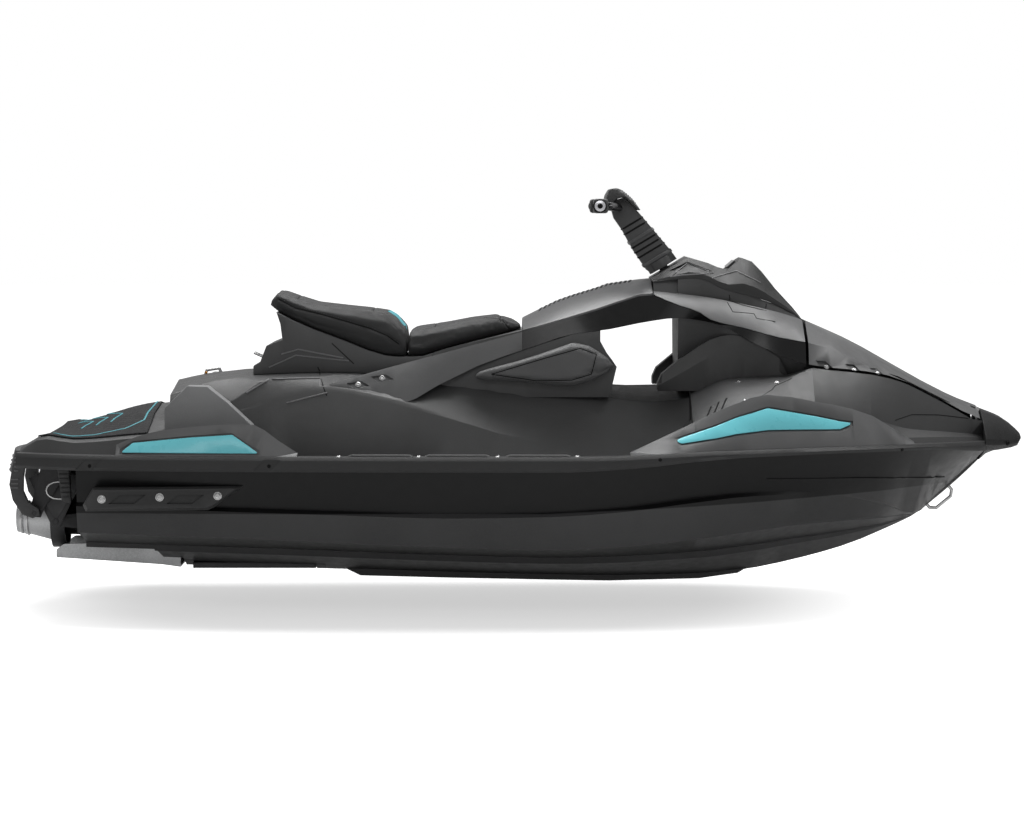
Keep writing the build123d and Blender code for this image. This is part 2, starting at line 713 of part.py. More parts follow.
def build_pedestal():
    end = short_of(SEAT_SPLIT)
    side = [(-789, 600), (end, 600), (end, seat_base(end) - GAP)] + seat_line(-718, -271)
    side += [(-706, 800), (-700, 752), (-728, 743), (-749, 734), (-768, 685), (-789, 673)]
    return above_deck(wide(side, SADDLE_HALF), -824, -193)


def cushion(stations, top, half):
    """Plain body of a seat cushion on the sloping seat base."""
    form = []
    for x in stations:
        low, high, w = seat_base(x), top(x), half(x)
        form.append((x, [(0, low), (w - 18, low), (w, low + 0.3 * (high - low)),
                         (w - 8, low + 0.75 * (high - low)), (w - 34, high - 5), (0, high)]))
    return hull_form(form)


def build_seat():
    rear_top = through([(-743, 874), (-718, 905), (-632, 869), (-508, 853), (-384, 838),
                        (-345, 815), (-322, 792)])
    rear_half = through([(-743, 120), (-700, 158), (-560, 174), (-400, 174), (-322, 166)])
    front_top = through([(-318, 784), (-198, 801), (-43, 825), (3, 812), (30, 800)])
    front_half = through([(-318, 166), (-200, 162), (-43, 118), (30, 62)])
    rear = cushion(SEAT_STATIONS[:9], rear_top, rear_half)
    front = cushion(SEAT_STATIONS[9:], front_top, front_half)
    return rear, front


# Lines of the upper body, seat to nose: (outboard distance, height) of each edge.
spar_low = (
    through([(-574, 292), (-355, 296), (-224, 250), (-103, 226), (79, 214), (296, 206),
             (502, 204), (608, 226), (745, 250), (866, 262), (926, 258), (1017, 245),
             (1108, 222), (1179, 198), (1271, 160), (1424, 98)]),
    through([(-574, 589), (-355, 557), (-224, 618), (-103, 676), (79, 739), (185, 772),
             (296, 786), (411, 809), (502, 820), (608, 806), (745, 739), (866, 690),
             (926, 676), (1017, 667), (1108, 654), (1179, 635), (1271, 592), (1424, 508)]),
)
spar_high = (
    through([(-574, 262), (-355, 215), (-224, 206), (-103, 202), (79, 198), (296, 200),
             (425, 205), (561, 226), (697, 240), (809, 244), (924, 228), (1041, 205),
             (1197, 165), (1322, 118), (1431, 80)]),
    through([(-574, 616), (-316, 686), (18, 774), (140, 808), (261, 844), (400, 888),
             (440, 890), (477, 868), (561, 840), (607, 812), (697, 791), (809, 761),
             (924, 740), (1041, 697), (1197, 622), (1322, 558), (1431, 518)]),
)
shoulder = (
    through([(428, 176), (565, 172), (748, 165), (870, 122), (1022, 98), (1175, 82),
             (1322, 58), (1431, 42)]),
    through([(428, 902), (565, 888), (748, 853), (870, 819), (1022, 742), (1175, 660),
             (1322, 578), (1431, 532)]),
)
ridge = through([(890, 814), (1041, 747), (1197, 660), (1322, 592), (1431, 543)])
spar_top = through([(33, 815), (142, 869), (266, 909), (313, 924), (430, 937)])
cowl_base = through([(428, 930), (566, 940), (643, 907), (749, 879), (841, 843), (890, 812)])
cowl_half = through([(428, 150), (538, 164), (600, 166), (660, 163), (706, 156), (736, 150),
                     (798, 128), (862, 100), (890, 86)])

BEAM_STATIONS = [SPAR_SPLIT, 79, 140, 185, 262, 296, 384, 428, 470, 505]
FRONT_STATIONS = [505, 538, 569, 600, 630, 660, 690, 706, 736, 767, 809, 862, 888]


def build_console():
    """Inner body from the seat over the leg opening to the cowl; the panels cover it."""
    beam = []
    for x in BEAM_STATIONS:
        beam.append((x, [(0, spar_low[1](x)), (spar_low[0](x) - SKIN - GAP, spar_low[1](x)),
                         (spar_high[0](x) - SKIN - GAP, spar_high[1](x) - 6),
                         (60, min(spar_top(x) - 14, cowl_base(x) - GAP)),
                         (0, min(spar_top(x) - 10, cowl_base(x) - GAP))]))
    front = []
    for x in FRONT_STATIONS:
        front.append((x, [(0, CONSOLE_FOOT[1]), CONSOLE_FOOT,
                          (spar_low[0](x) - SKIN - GAP, spar_low[1](x) + 2),
                          (spar_high[0](x) - SKIN - GAP, spar_high[1](x) - 4),
                          (shoulder[0](x) - SKIN - GAP, shoulder[1](x) - 8),
                          (min(cowl_half(x), shoulder[0](x)) - 2, cowl_base(x) - GAP),
                          (0, cowl_base(x) - GAP)]))
    knee_top = [(x, spar_low[1](x) - 1) for x in (268, 185, 79, 31, -103, -170, SEAT_SPLIT)]
    knee = wide([(SEAT_SPLIT, 580), (296, 580), (318, 672), (293, 705), (268, 750)] + knee_top,
                KNEE_HALF)
    seat_foot = wide([(SEAT_SPLIT, 580), (30, 580)] + seat_line(SEAT_SPLIT, 30), SADDLE_HALF)
    neck = wide([(-20, 640), (268, 700), (268, spar_low[1](268) + 12),
                 (79, spar_low[1](79) + 12), (31, spar_low[1](31) + 12), (-20, 720)], 140)
    body = hull_form(beam) + hull_form(front) + knee + seat_foot + neck
    body = above_deck(body, -270, 905)
    return body - at_helm(steering_cylinder(STEM_R + PIN_GAP, -115, 60))


def panel_section(x, high, low, drop):
    """Skin between two edge lines of the upper body."""
    return [(low[0](x), low[1](x)), (high[0](x), high[1](x)),
            (high[0](x) - SKIN, high[1](x) - drop), (low[0](x) - SKIN, low[1](x))]


def build_panels():
    spar_rear = side_form([
        (x, [(SADDLE_HALF + GAP, spar_low[1](x)), (spar_low[0](x), spar_low[1](x)),
             (spar_high[0](x), spar_high[1](x)), (SADDLE_HALF + GAP, spar_high[1](x) - 2)])
        for x in (-574, -470, -355, -290, -224, -103, -30, short_of(SPAR_SPLIT))])
    spar_rear = above_deck(spar_rear, -632, 40)
    whole = spar_rear
    for x in (-500, -428):
        top = spar_high[1](x) - 12
        outline = [(x, top), (x + 46, top + 6), (x + 70, top - 8), (x + 22, top - 16)]
        spar_rear = spar_rear - pocket(whole, outline, PANEL_POCKET)
    spar_front = side_form([(x, panel_section(x, spar_high, spar_low, 3))
                            for x in BEAM_STATIONS + FRONT_STATIONS[1:]])
    shroud = side_form([(x, panel_section(x, shoulder, (spar_high[0],
                         lambda x: spar_high[1](x) + 1), 8))
                        for x in [430, 470] + FRONT_STATIONS])
    cover = []
    for x in BEAM_STATIONS[:8]:
        cover.append((x, [(0, spar_top(x) - 10 + GAP), (60, spar_top(x) - 14 + GAP),
                          (spar_high[0](x) - SKIN - GAP, spar_high[1](x) - 6 + GAP),
                          (spar_high[0](x) - SKIN - 1, spar_high[1](x) + 6),
                          (66, spar_top(x) - 4), (0, spar_top(x))]))
    return spar_rear, spar_front, shroud, hull_form(cover)


def build_knee_pads():
    outline = [(-117, 642), (-102, 660), (78, 716), (184, 752), (235, 741), (292, 702),
               (310, 676), (289, 655), (244, 630), (184, 612), (124, 615), (18, 627),
               (-87, 632)]
    centre = (110.0, 685.0)
    small = [(centre[0] + 0.9 * (x - centre[0]), centre[1] + 0.8 * (z - centre[1]))
             for x, z in outline]
    inner, outer = KNEE_HALF + SOFT_GAP, KNEE_HALF + KNEE_PAD
    rings = []
    for y, points in ((inner, outline), (outer - 12, outline), (outer, small)):
        rings.append([(sx(x), -sy(y), z) for x, z in points])
    return faceted(rings)


pod_top = through([(442, 624), (454, 651), (515, 700), (623, 763), (669, 770), (775, 724),
                   (820, 688), (836, 648)])
pod_crease = through([(442, 616), (518, 658), (609, 706), (669, 716), (775, 690), (836, 630)])


def build_kick_pods():
    """Pods at the foot of the console, whose inner side follows it."""
    form = []
    foot_y, foot_z = CONSOLE_FOOT
    for x in [442, 454] + FRONT_STATIONS[:-2] + [836]:
        top = min(pod_top(x), spar_low[1](x) - GAP)
        crease = pod_crease(x)
        lean = (spar_low[0](x) - SKIN - GAP - foot_y) / (spar_low[1](x) + 2 - foot_z)
        low_y, mid_y, top_y = [foot_y + GAP + lean * (z - foot_z) for z in (foot_z, crease, top)]
        form.append((x, [(low_y, foot_z), (230, foot_z), (max(238, mid_y + 8), crease),
                         (max(222, top_y + 5), top), (top_y, top), (mid_y, crease)]))
    return above_deck(side_form(form), 430, 905)


def build_cowl():
    top = through([(428, 938), (538, 1003)])
    nose = through([(538, 1003), (600, 985), (660, 964), (690, 990), (706, 1000), (736, 989),
                    (798, 918), (862, 850), (889, 818)])
    crest = through([(428, 112), (538, 112), (600, 108), (660, 104), (706, 80), (736, 76),
                     (798, 66), (862, 50), (889, 40)])
    form = []
    for x in [428, 470] + FRONT_STATIONS:
        high = top(x) if x < 538 else nose(x)
        low = cowl_base(x)
        w = cowl_half(x)
        form.append((x, [(0, low), (w, low), (w - 3, low + 0.3 * (high - low)),
                         (crest(x) + 6, high - 6), (crest(x), high), (0, high)]))
    cowl = hull_form(form)
    cut = pocket(Pos(0, 0, -COWL_POCKET) * cowl, [(480, 962), (536, 989), (612, 961)], COWL_POCKET)
    cowl = cowl - cut - port(cut)
    return cowl - at_helm(steering_cylinder(STEM_R + RUN, -120, 60))


def build_display():
    """Screen on the slope that faces the rider."""
    return across([(664, 968.5), (687, 988.5), (683.5, 992.5), (660.5, 972.5)], 58)


def steering_point(along):
    """A point on the steering axis, measured from its top bearing."""
    t = math.radians(STEERING_TILT)
    return (STEERING_X - along * math.sin(t), 0, STEERING_Z + along * math.cos(t))


def steering_cylinder(radius, start, end):
    return tube(steering_point(start), steering_point(end), radius)


# ---------------------------------------------------------------- hood and bin
HOOD_STATIONS = [HOOD_REAR, 960, 1020, 1083, 1140, 1210, 1270, 1340, 1380, 1438]


def hood_outer(x):
    return [(0, spar_low[1](x)), (spar_low[0](x), spar_low[1](x)),
            (spar_high[0](x), spar_high[1](x)), (shoulder[0](x), shoulder[1](x)),
            (0, ridge(x))]


def hood_inner(x):
    t = HOOD_SKIN
    return [(0, spar_low[1](x) - 5), (spar_low[0](x) - 1.2 * t, spar_low[1](x) - 5),
            (spar_high[0](x) - 1.1 * t, spar_high[1](x) - 0.6 * t),
            (shoulder[0](x) - 0.4 * t, shoulder[1](x) - t), (0, ridge(x) - t)]


def build_hood():
    """Hollow lid that turns about a hinge at its front edge."""
    outer = hull_form([(x, hood_outer(x)) for x in HOOD_STATIONS])
    hollow = [HOOD_REAR - 5] + HOOD_STATIONS[1:-1] + [1415]
    hood = outer - hull_form([(x, hood_inner(x)) for x in hollow])
    for x, size in ((918, 1.0), (1008, 0.9), (1085, 0.8)):
        low = spar_low[1](x + 30)
        gill = pocket(outer, [(x, low + 20 * size), (x + 30 * size, low + 17 * size),
                              (x + 66 * size, low - 16), (x + 22 * size, low - 16)], GILL_DEPTH)
        hood = hood - gill - port(gill)
    x, z = sx(HOOD_HINGE[0]), HOOD_HINGE[1]
    for s in (1, -1):
        hood = hood - Pos(x, s * HINGE_MID, z) * Box(40, HINGE_EAR + 2 * RUN, 80)
    hood = hood + tube((x, -HINGE_KNUCKLE, z), (x, HINGE_KNUCKLE, z), HINGE_R)
    return hood - tube((x, -60, z), (x, 60, z), HINGE_PIN_R + PIN_GAP)


def build_hood_hinge():
    x, z = sx(HOOD_HINGE[0]), HOOD_HINGE[1]
    body = tube((x, -HINGE_MID - 4, z), (x, HINGE_MID + 4, z), HINGE_PIN_R)
    for s in (1, -1):
        ear = Pos(x, s * HINGE_MID, (z + 440) / 2) * Box(2 * HINGE_R, HINGE_EAR, z - 440)
        body = body + ear + tube((x, s * (HINGE_MID - HINGE_EAR / 2), z),
                                 (x, s * (HINGE_MID + HINGE_EAR / 2), z), HINGE_R)
    return above_deck(body, 1380, BOW_JOINT)


def build_bin():
    rim = 4.0
    rear, front = sx(BIN[0]), sx(BIN[1])
    tub = across([(rear, BIN_FLOOR), (front, BIN_FLOOR), (front, foredeck_crown(BIN[1]) + rim),
                  (rear, foredeck_crown(BIN[0]) + rim)], BIN_HALF)
    return tub - block(rear + BIN_WALL, front - BIN_WALL, BIN_HALF - BIN_WALL,
                       BIN_FLOOR + BIN_WALL, 800)


foredeck_crown = through([(540, 612), (661, 646), (900, 646), (1050, 604), (1200, 548)])


# ---------------------------------------------------------------- handlebar
BAR_NODES = [(328, 0, 1153), (328, -78, 1153), (266, -178, 1159), (262, -BAR_HALF, 1159)]


def bar_end(along):
    """A point on the outer straight of the bar, at this distance from the centreline."""
    (x0, y0, z0), (x1, y1, z1) = BAR_NODES[2:]
    t = (along + y0) / (y0 - y1)
    return (x0 + t * (x1 - x0), -along, z0 + t * (z1 - z0))


def build_handlebar():
    riser = across([(432, 951), (415, 963), (374, 1023), (340, 1085), (314, 1122), (306, 1150),
                  (318, 1178), (345, 1185), (389, 1141), (489, 1023), (508, 997)], 34)
    riser = riser + steering_cylinder(COLLAR_R, 0, 26) + steering_cylinder(STEM_R, -105, 2)
    bar = rod(BAR_NODES, BAR_R)
    bar = bar + port(bar)
    riser = riser - bar
    pad = across([(284, 1172), (296, 1212), (322, 1217), (372, 1176), (396, 1146), (388, 1142.5),
                (345, 1185.5), (318, 1178.5), (305.5, 1158), (290, 1150)], 90) - bar - riser
    return riser, bar, pad


def build_grips():
    end = BAR_HALF - 4
    start = end - GRIP_LENGTH
    grip = tube(bar_end(start), bar_end(end), GRIP_R)
    grip = grip + tube(bar_end(start), bar_end(start + 5), GRIP_R + 4)
    return grip - tube(bar_end(start - 1), bar_end(end + 1), BAR_R + SOFT_GAP)


def build_bar_ends():
    return tube(bar_end(BAR_HALF + 0.2), bar_end(BAR_HALF + 8), GRIP_R - 1)


def build_switches():
    """Housings inboard of the grips, with the throttle and reverse levers."""
    core = tube(bar_end(180), bar_end(BAR_HALF), BAR_R + 0.1)
    housing = Pos(268, -212, 1159) * Box(46, 44, 44) - core
    root, elbow, tip = (302, -206, 1164), (312, -236, 1160), (296, -318, 1156)
    lever = rod([(288, -206, 1164), root, elbow, tip], 6.5) + Pos(*tip) * Sphere(6.5)
    return housing, lever - Pos(268, -212, 1159) * Box(46.4, 44.4, 44.4)


# ---------------------------------------------------------------- jet drive
def about_pump(points):
    """A body of revolution about the pump's axis from an (x, radius) outline."""
    wire = Wire.make_polygon([(x, 0, PUMP_Z + r) for x, r in points], close=True)
    return Solid.revolve(Face(wire), 360, Axis((0, 0, PUMP_Z), (1, 0, 0)))


HOUSING_REAR = -1174.0
IMPELLER = (-1152.0, -1060.0)


def build_pump_housing():
    outer = DUCT_R + DUCT_WALL
    flange = TUNNEL_FRONT - GAP
    return about_pump([(flange, DUCT_R), (flange, outer + FLANGE), (flange - 12, outer + FLANGE),
                       (flange - 12, outer), (HOUSING_REAR + 10, outer),
                       (HOUSING_REAR + 10, outer + 10), (HOUSING_REAR, outer + 10),
                       (HOUSING_REAR, DUCT_R)])


def build_pump_nozzle():
    """Stator vanes, hub and the contracting nozzle, with ears that carry the trim ring."""
    outer = DUCT_R + DUCT_WALL
    front = HOUSING_REAR - GAP
    lip = JET_R + JET_WALL
    shell = about_pump([(front, DUCT_R), (front, outer + 10), (front - 10, outer + 10),
                        (front - 10, outer), (-1262, outer), (-1345, lip + 2),
                        (GIMBAL_X, lip), (GIMBAL_X, JET_R), (-1350, JET_R + 2),
                        (-1270, DUCT_R)])
    hub = about_pump([(front, SHAFT_R + PIN_GAP), (front, IMPELLER_HUB_R),
                      (-1290, IMPELLER_HUB_R), (-1335, 16), (-1346, 0), (-1250, 0),
                      (-1250, SHAFT_R + PIN_GAP)])
    body = shell + hub
    mean = (IMPELLER_HUB_R + DUCT_R) / 2
    for k in range(5):
        vane = Pos((front - 1265) / 2, 0, PUMP_Z + mean)
        vane = vane * Box(front + 1265, 5, DUCT_R - IMPELLER_HUB_R + 6)
        body = body + vane.rotate(Axis((0, 0, PUMP_Z), (1, 0, 0)), 36 + 72 * k)
    ring_outer = SOCKET_R + NOZZLE_WALL + RUN + 1 + RING_WALL
    inner = ring_outer + RUN
    pin_end = inner + EAR + RUN + 1 + BUCKET_ARM + 1
    for s in (1, -1):
        ear = cheek([(-1230, PUMP_Z - 34), (-1230, PUMP_Z + 34), (GIMBAL_X, PUMP_Z + 16),
                     (GIMBAL_X - 16, PUMP_Z), (GIMBAL_X, PUMP_Z - 16)], inner, inner + EAR)
        ear = ear + cheek([(-1186, PUMP_Z - 30), (-1186, PUMP_Z + 30), (-1256, PUMP_Z + 30),
                           (-1256, PUMP_Z - 30)], DUCT_R + 2, inner + EAR)
        ear = ear - tube((GIMBAL_X, -inner + 2, PUMP_Z), (GIMBAL_X, -inner - EAR + 2, PUMP_Z),
                         PIN_R + PIN_GAP)
        ear = ear + tube((GIMBAL_X, -inner - EAR + 0.5, PUMP_Z), (GIMBAL_X, -pin_end, PUMP_Z),
                         PIN_R)
        body = body + (ear if s == 1 else port(ear))
    bore = about_pump([(front + 1, 0), (front + 1, SHAFT_R + PIN_GAP), (-1250, SHAFT_R + PIN_GAP),
                       (-1250, 0)])
    return body - bore


def build_shaft():
    """Drive shaft from the engine to its bearing in the pump nozzle."""
    front = ENGINE_X - ENGINE[0] / 2 - 6 - stern_shift()
    return about_pump([(front, 0), (front, SHAFT_R), (-1246, SHAFT_R), (-1246, 0)])


def build_impeller():
    """Hub and twisted blades."""
    rear, front = IMPELLER
    bore = SHAFT_R + SOFT_GAP
    body = about_pump([(front + 14, bore), (front + 14, SHAFT_R + 4), (front, IMPELLER_HUB_R - 8),
                       (front - 12, IMPELLER_HUB_R - 1), (rear, IMPELLER_HUB_R),
                       (rear - 16, IMPELLER_HUB_R), (rear - 16, bore)])
    tip = DUCT_R - RUN - 0.2
    root = IMPELLER_HUB_R - 8
    blade_rings = []
    for k in range(BLADE_STATIONS):
        t = k / (BLADE_STATIONS - 1)
        x = rear + 4 + (front - rear - 12) * t
        turn = math.radians(BLADE_TWIST * t)
        reach = tip - 10 * t * t
        section = []
        for r, w in ((root, -6), (reach, -3), (reach, 3), (root, 6)):
            y = w * math.cos(turn) - r * math.sin(turn)
            z = w * math.sin(turn) + r * math.cos(turn)
            section.append((x, y, PUMP_Z + z))
        blade_rings.append(section)
    blade = faceted(blade_rings)
    axis = Axis((0, 0, PUMP_Z), (1, 0, 0))
    for k in range(IMPELLER_BLADES):
        body = body + blade.rotate(axis, 360 * k / IMPELLER_BLADES)
    return body


def build_trim_ring():
    inner = SOCKET_R + NOZZLE_WALL + RUN + 1
    outer = inner + RING_WALL
    ring = about_pump([(GIMBAL_X - RING_HALF, inner), (GIMBAL_X - RING_HALF, outer),
                       (GIMBAL_X + RING_HALF, outer), (GIMBAL_X + RING_HALF, inner)])
    for s in (1, -1):
        ring = ring + tube((GIMBAL_X, s * (outer - 3), PUMP_Z),
                           (GIMBAL_X, s * (outer + RUN + EAR - 2.6), PUMP_Z), PIN_R)
    return ring - tube((GIMBAL_X, 0, PUMP_Z - outer - 1), (GIMBAL_X, 0, PUMP_Z + outer + 1),
                       PIN_R + PIN_GAP)


def build_steering_nozzle():
    """Ball socket round the pump nozzle's lip, and a cone with two bands at its outlet."""
    ball = SOCKET_R + NOZZLE_WALL
    tail_x = GIMBAL_X - NOZZLE_TAIL

    def arc(radius, offsets):
        return [(GIMBAL_X + d, math.sqrt(radius ** 2 - d ** 2)) for d in offsets]

    def cone(x):
        return NOZZLE_OUT_R + 6 + (ball - NOZZLE_OUT_R - 9) * (x - tail_x) / (NOZZLE_TAIL - 20)

    outline = arc(ball, (6, 0, -7, -14, -20))
    for step, lift in ((38, 0), (37, BAND), (24, BAND), (23, 0), (20, 0), (19, BAND), (0, BAND)):
        outline.append((tail_x + step, cone(tail_x + step) + lift))
    outline += [(tail_x, NOZZLE_OUT_R)] + arc(SOCKET_R, (-18, -12, -6, 0, 6))
    body = about_pump(outline)
    reach = ball + RUN + 1 + RING_WALL - 1
    for s in (1, -1):
        body = body + tube((GIMBAL_X, 0, PUMP_Z + s * (ball - 3)), (GIMBAL_X, 0, PUMP_Z + s * reach),
                           PIN_R)
    return body


def bucket_inner():
    """Half width between the reverse bucket's cheeks."""
    return SOCKET_R + NOZZLE_WALL + RUN + 1 + RING_WALL + RUN + EAR + RUN + 1


def build_bucket():
    """Reverse bucket, raised: shell and cheeks that turn about the ears' pins."""
    inner = bucket_inner()
    outer = inner + BUCKET_ARM
    shell_r = BUCKET_R + BUCKET_ARM
    a = math.radians(BUCKET_SPAN)
    steps = [a * (k / 4 - 1) for k in range(9)]
    arc_out = [(GIMBAL_X + shell_r * math.sin(t), PUMP_Z + shell_r * math.cos(t)) for t in steps]
    arc_in = [(GIMBAL_X + BUCKET_R * math.sin(t), PUMP_Z + BUCKET_R * math.cos(t))
              for t in reversed(steps)]
    shell = across(arc_out + arc_in, outer)
    side_line = arc_out + [(GIMBAL_X + 20, PUMP_Z), (GIMBAL_X + 10, PUMP_Z - 18),
                            (GIMBAL_X - 10, PUMP_Z - 18), (GIMBAL_X - 20, PUMP_Z)]
    body = shell
    for s in (1, -1):
        side = cheek(side_line, inner, outer)
        side = side - tube((GIMBAL_X, -inner + 1, PUMP_Z), (GIMBAL_X, -outer - 1, PUMP_Z),
                           PIN_R + PIN_GAP)
        body = body + (side if s == 1 else port(side))
    return body


def build_ride_plate():
    """Alloy plate under the pump, from the intake shoe to behind the transom."""
    front, (x, z) = TUNNEL_FRONT - 8, STERN_STEP
    half = TUNNEL_HALF - GAP
    rear = -1400
    low = [(front, 52), (x - 14, 60), (rear, 82)]
    floor = across(low + [(rear, 88), (x - 14, 66), (front, 58)], half)
    side = cheek(low + [(rear, 106), (rear + 24, z - 4), (TRANSOM_X, z - 1.5), (x - 24, z - 7),
                        (front, z - 20)], half - 7, half)
    return floor + side + port(side)


def build_grate():
    rear, front = GRATE[0] + GAP, GRATE[1] - GAP
    low, high = GRATE_TOP - 18, GRATE_TOP - GAP
    frame = block(rear, front, GRATE_HALF - GAP, low, high)
    frame = frame - block(rear + 22, front - 22, GRATE_HALF - 14, low - 1, high + 1)
    for y in (-35, 0, 35):
        frame = frame + tube((rear + 10, y, (low + high) / 2), (front - 10, y, (low + high) / 2),
                             GRATE_BAR_R)
    return frame


# ---------------------------------------------------------------- stern gear
def step_inner():
    """Half width between the boarding step's arms, outside its brackets and the bucket."""
    return bucket_inner() + BUCKET_ARM + 2 * RUN + BRACKET + RUN


def build_step():
    """Boarding step, folded up behind the platform: two arms and a bowed tread."""
    inner = step_inner()
    outer = inner + STEP_ARM
    hx, hz = STEP_HINGE
    arm = cheek([(hx - 5, hz - 16), (hx - 37, hz - 4), (hx - 66, hz + 40), (hx - 76, hz + 88),
                 (hx - 68, hz + 136), (hx - 56, hz + 192), (hx - 27, hz + 192),
                 (hx - 27, hz + 150), (hx - 34, hz + 108), (hx - 35, hz + 68),
                 (hx - 20, hz + 34), (hx + 12, hz + 14), (hx + 16, hz - 6)], inner, outer)
    arm = arm - tube((hx, -inner + 1, hz), (hx, -outer - 1, hz), STEP_PIN_R + PIN_GAP)
    tread = []
    for k in range(-4, 5):
        y = (inner + 1) * k / 4
        bow = 22 * (1 - (k / 4) ** 2)
        outline = [(-74, 124), (-68, 146), (-56, 192), (-27, 192), (-27, 150), (-36, 124)]
        tread.append([(hx + u - bow, y, hz + w) for u, w in outline])
    return arm + port(arm) + faceted(tread)


def build_step_bracket():
    inner = step_inner() - RUN - BRACKET
    low = deck_low(-1400) - GAP
    x, z = STEP_HINGE
    arm = cheek([(-1346, low), (-1440, low), (x - 18, z + 10), (x - 14, z - 14),
                 (x + 14, z - 16), (x + 30, z + 20), (-1362, 350)], inner, inner + BRACKET)
    pin = tube((x, -inner - 5, z), (x, -step_inner() - STEP_ARM + 1, z), STEP_PIN_R)
    return arm + pin


def tow_eye(start, end, reach, radius):
    """Rod bent into a flat eye whose two feet sink into the stem."""
    a, b = Vector(*start), Vector(*end)
    along = (b - a).normalized()
    out = Vector(along.Z, 0, -along.X)
    points = [a - out * 18, a + out * (reach - 14), a + out * reach + along * 15,
              b + out * reach - along * 15, b + out * (reach - 14), b - out * 18]
    return rod([tuple(p) for p in points], radius)


def build_stern_eyes():
    """Brackets under the platform, each with a U-shaped eye for tying up."""
    low = deck_low(-1400) - GAP
    bracket = cheek([(-1376, low), (-1340, low), (-1334, 262), (-1362, 268)], EYE_Y - 18,
                    EYE_Y + 18)
    for k in range(6):
        z = 280 + 14 * k
        bracket = bracket - cheek([(-1400, z), (-1300, z), (-1300, z + 6), (-1400, z + 6)],
                                  EYE_Y + 14, EYE_Y + 30)
    points = []
    for k in range(9):
        a = math.pi * (0.5 + k / 8)
        points.append((-1376 + 34 * math.cos(a), -EYE_Y, 300 + 26 * math.sin(a)))
    ends = [(-1355, -EYE_Y, 326), (-1355, -EYE_Y, 274)]
    eye = rod([ends[0]] + points + [ends[1]], EYE_R) - bracket
    return bracket, max(eye.solids(), key=lambda s: s.volume)


def build_drain_plugs():
    """Screwed plugs low in the transom."""
    y, z = TUNNEL_HALF + 45, STERN_STEP[1] + 34
    seat = (TRANSOM_X - SOFT_GAP, -y, z)
    return tube(seat, (TRANSOM_X - 6, -y, z), PLUG_R) + tube(seat, (TRANSOM_X - 16, -y, z), 8)


def build_ski_eye():
    """Tow hook on the centreline behind the seat."""
    top = saddle_crown(-930)
    hook = rod([(-954, 0, top - 14), (-946, 0, top + 8), (-908, 0, top + 14),
                (-896, 0, top - 10)], 4.5)
    return hook - Pos(0, 0, SOFT_GAP) * saddle_form()


def build_seat_loop(pedestal):
    """Strap loop at the pedestal's rear end."""
    loop = rod([(-758, 18, 688), (-796, 18, 705), (-796, -18, 705), (-758, -18, 688)], 3.5)
    return max((loop - pedestal).solids(), key=lambda s: s.volume)


# ---------------------------------------------------------------- trim
def build_sponson():
    """Chine stabiliser bolted to the hull's side."""
    outline = [(-1266, 279), (-1257, 260), (-897, 264), (-878, 272), (-793, 335), (-1236, 329)]
    small = [(-1258, 282), (-1250, 268), (-900, 272), (-884, 279), (-812, 329), (-1232, 324)]
    face = 516
    rings = []
    for y, points in ((440, outline), (face - 10, outline), (face, small)):
        rings.append([(sx(x), -sy(y), z) for x, z in points])
    side = hull_form([(x, hull_half(x)) for x in stations(TRANSOM_X, -691)])
    body = Pos(0, -GAP, 0) * (faceted(rings) - side)
    for x in (-1190, -1019):
        body = body - plate([(x, 283), (x + 77, 283), (x + 112, 310), (x + 35, 310)],
                            face - 7, face + 10)
    return body


def build_mats():
    def mat_half(x):
        half = platform_half(x)[6:]
        lift = [(y if y else 0, z + 6) for y, z in half]
        lift[0] = (lift[1][0] + 2, lift[1][1])
        top = lift[1:]
        low = [(0, top[-1][1] - 12), (top[0][0], top[0][1] - 12)]
        return low + top
    platform = hull_form([(x, mat_half(x)) for x in stations(-1425, -1085)])
    platform = above_deck(platform, -1456, -1036)
    points = []
    outer = [(x, beam_line(x) - FOOTWELL_WALL - 6) for x in (-1020, -700, -300, 100, 396)]
    inner = [(x, saddle_foot(x) + 6) for x in (396, 300, 18, -300, -700, -1020)]
    wire = Wire.make_polygon([(sx(x), -sy(y), FOOTWELL_FLOOR + GAP) for x, y in outer + inner],
                             close=True)
    well = Solid.extrude(Face(wire), Vector(0, 0, 6)) - build_chock(GAP)
    return platform, well


def build_chock(clear=0.0):
    """Heel rest at the footwell's rear end, grown by a clearance where the mat fits round it."""
    base = FOOTWELL_FLOOR + GAP - clear
    outline = [(-1032 - clear, base), (-1032 - clear, 560), (-1024, 568), (-964, 626),
               (-904, 624), (-845, 577), (-771 + clear, 508), (-771 + clear, base)]
    return plate(outline, 358 - clear, 424 + clear)


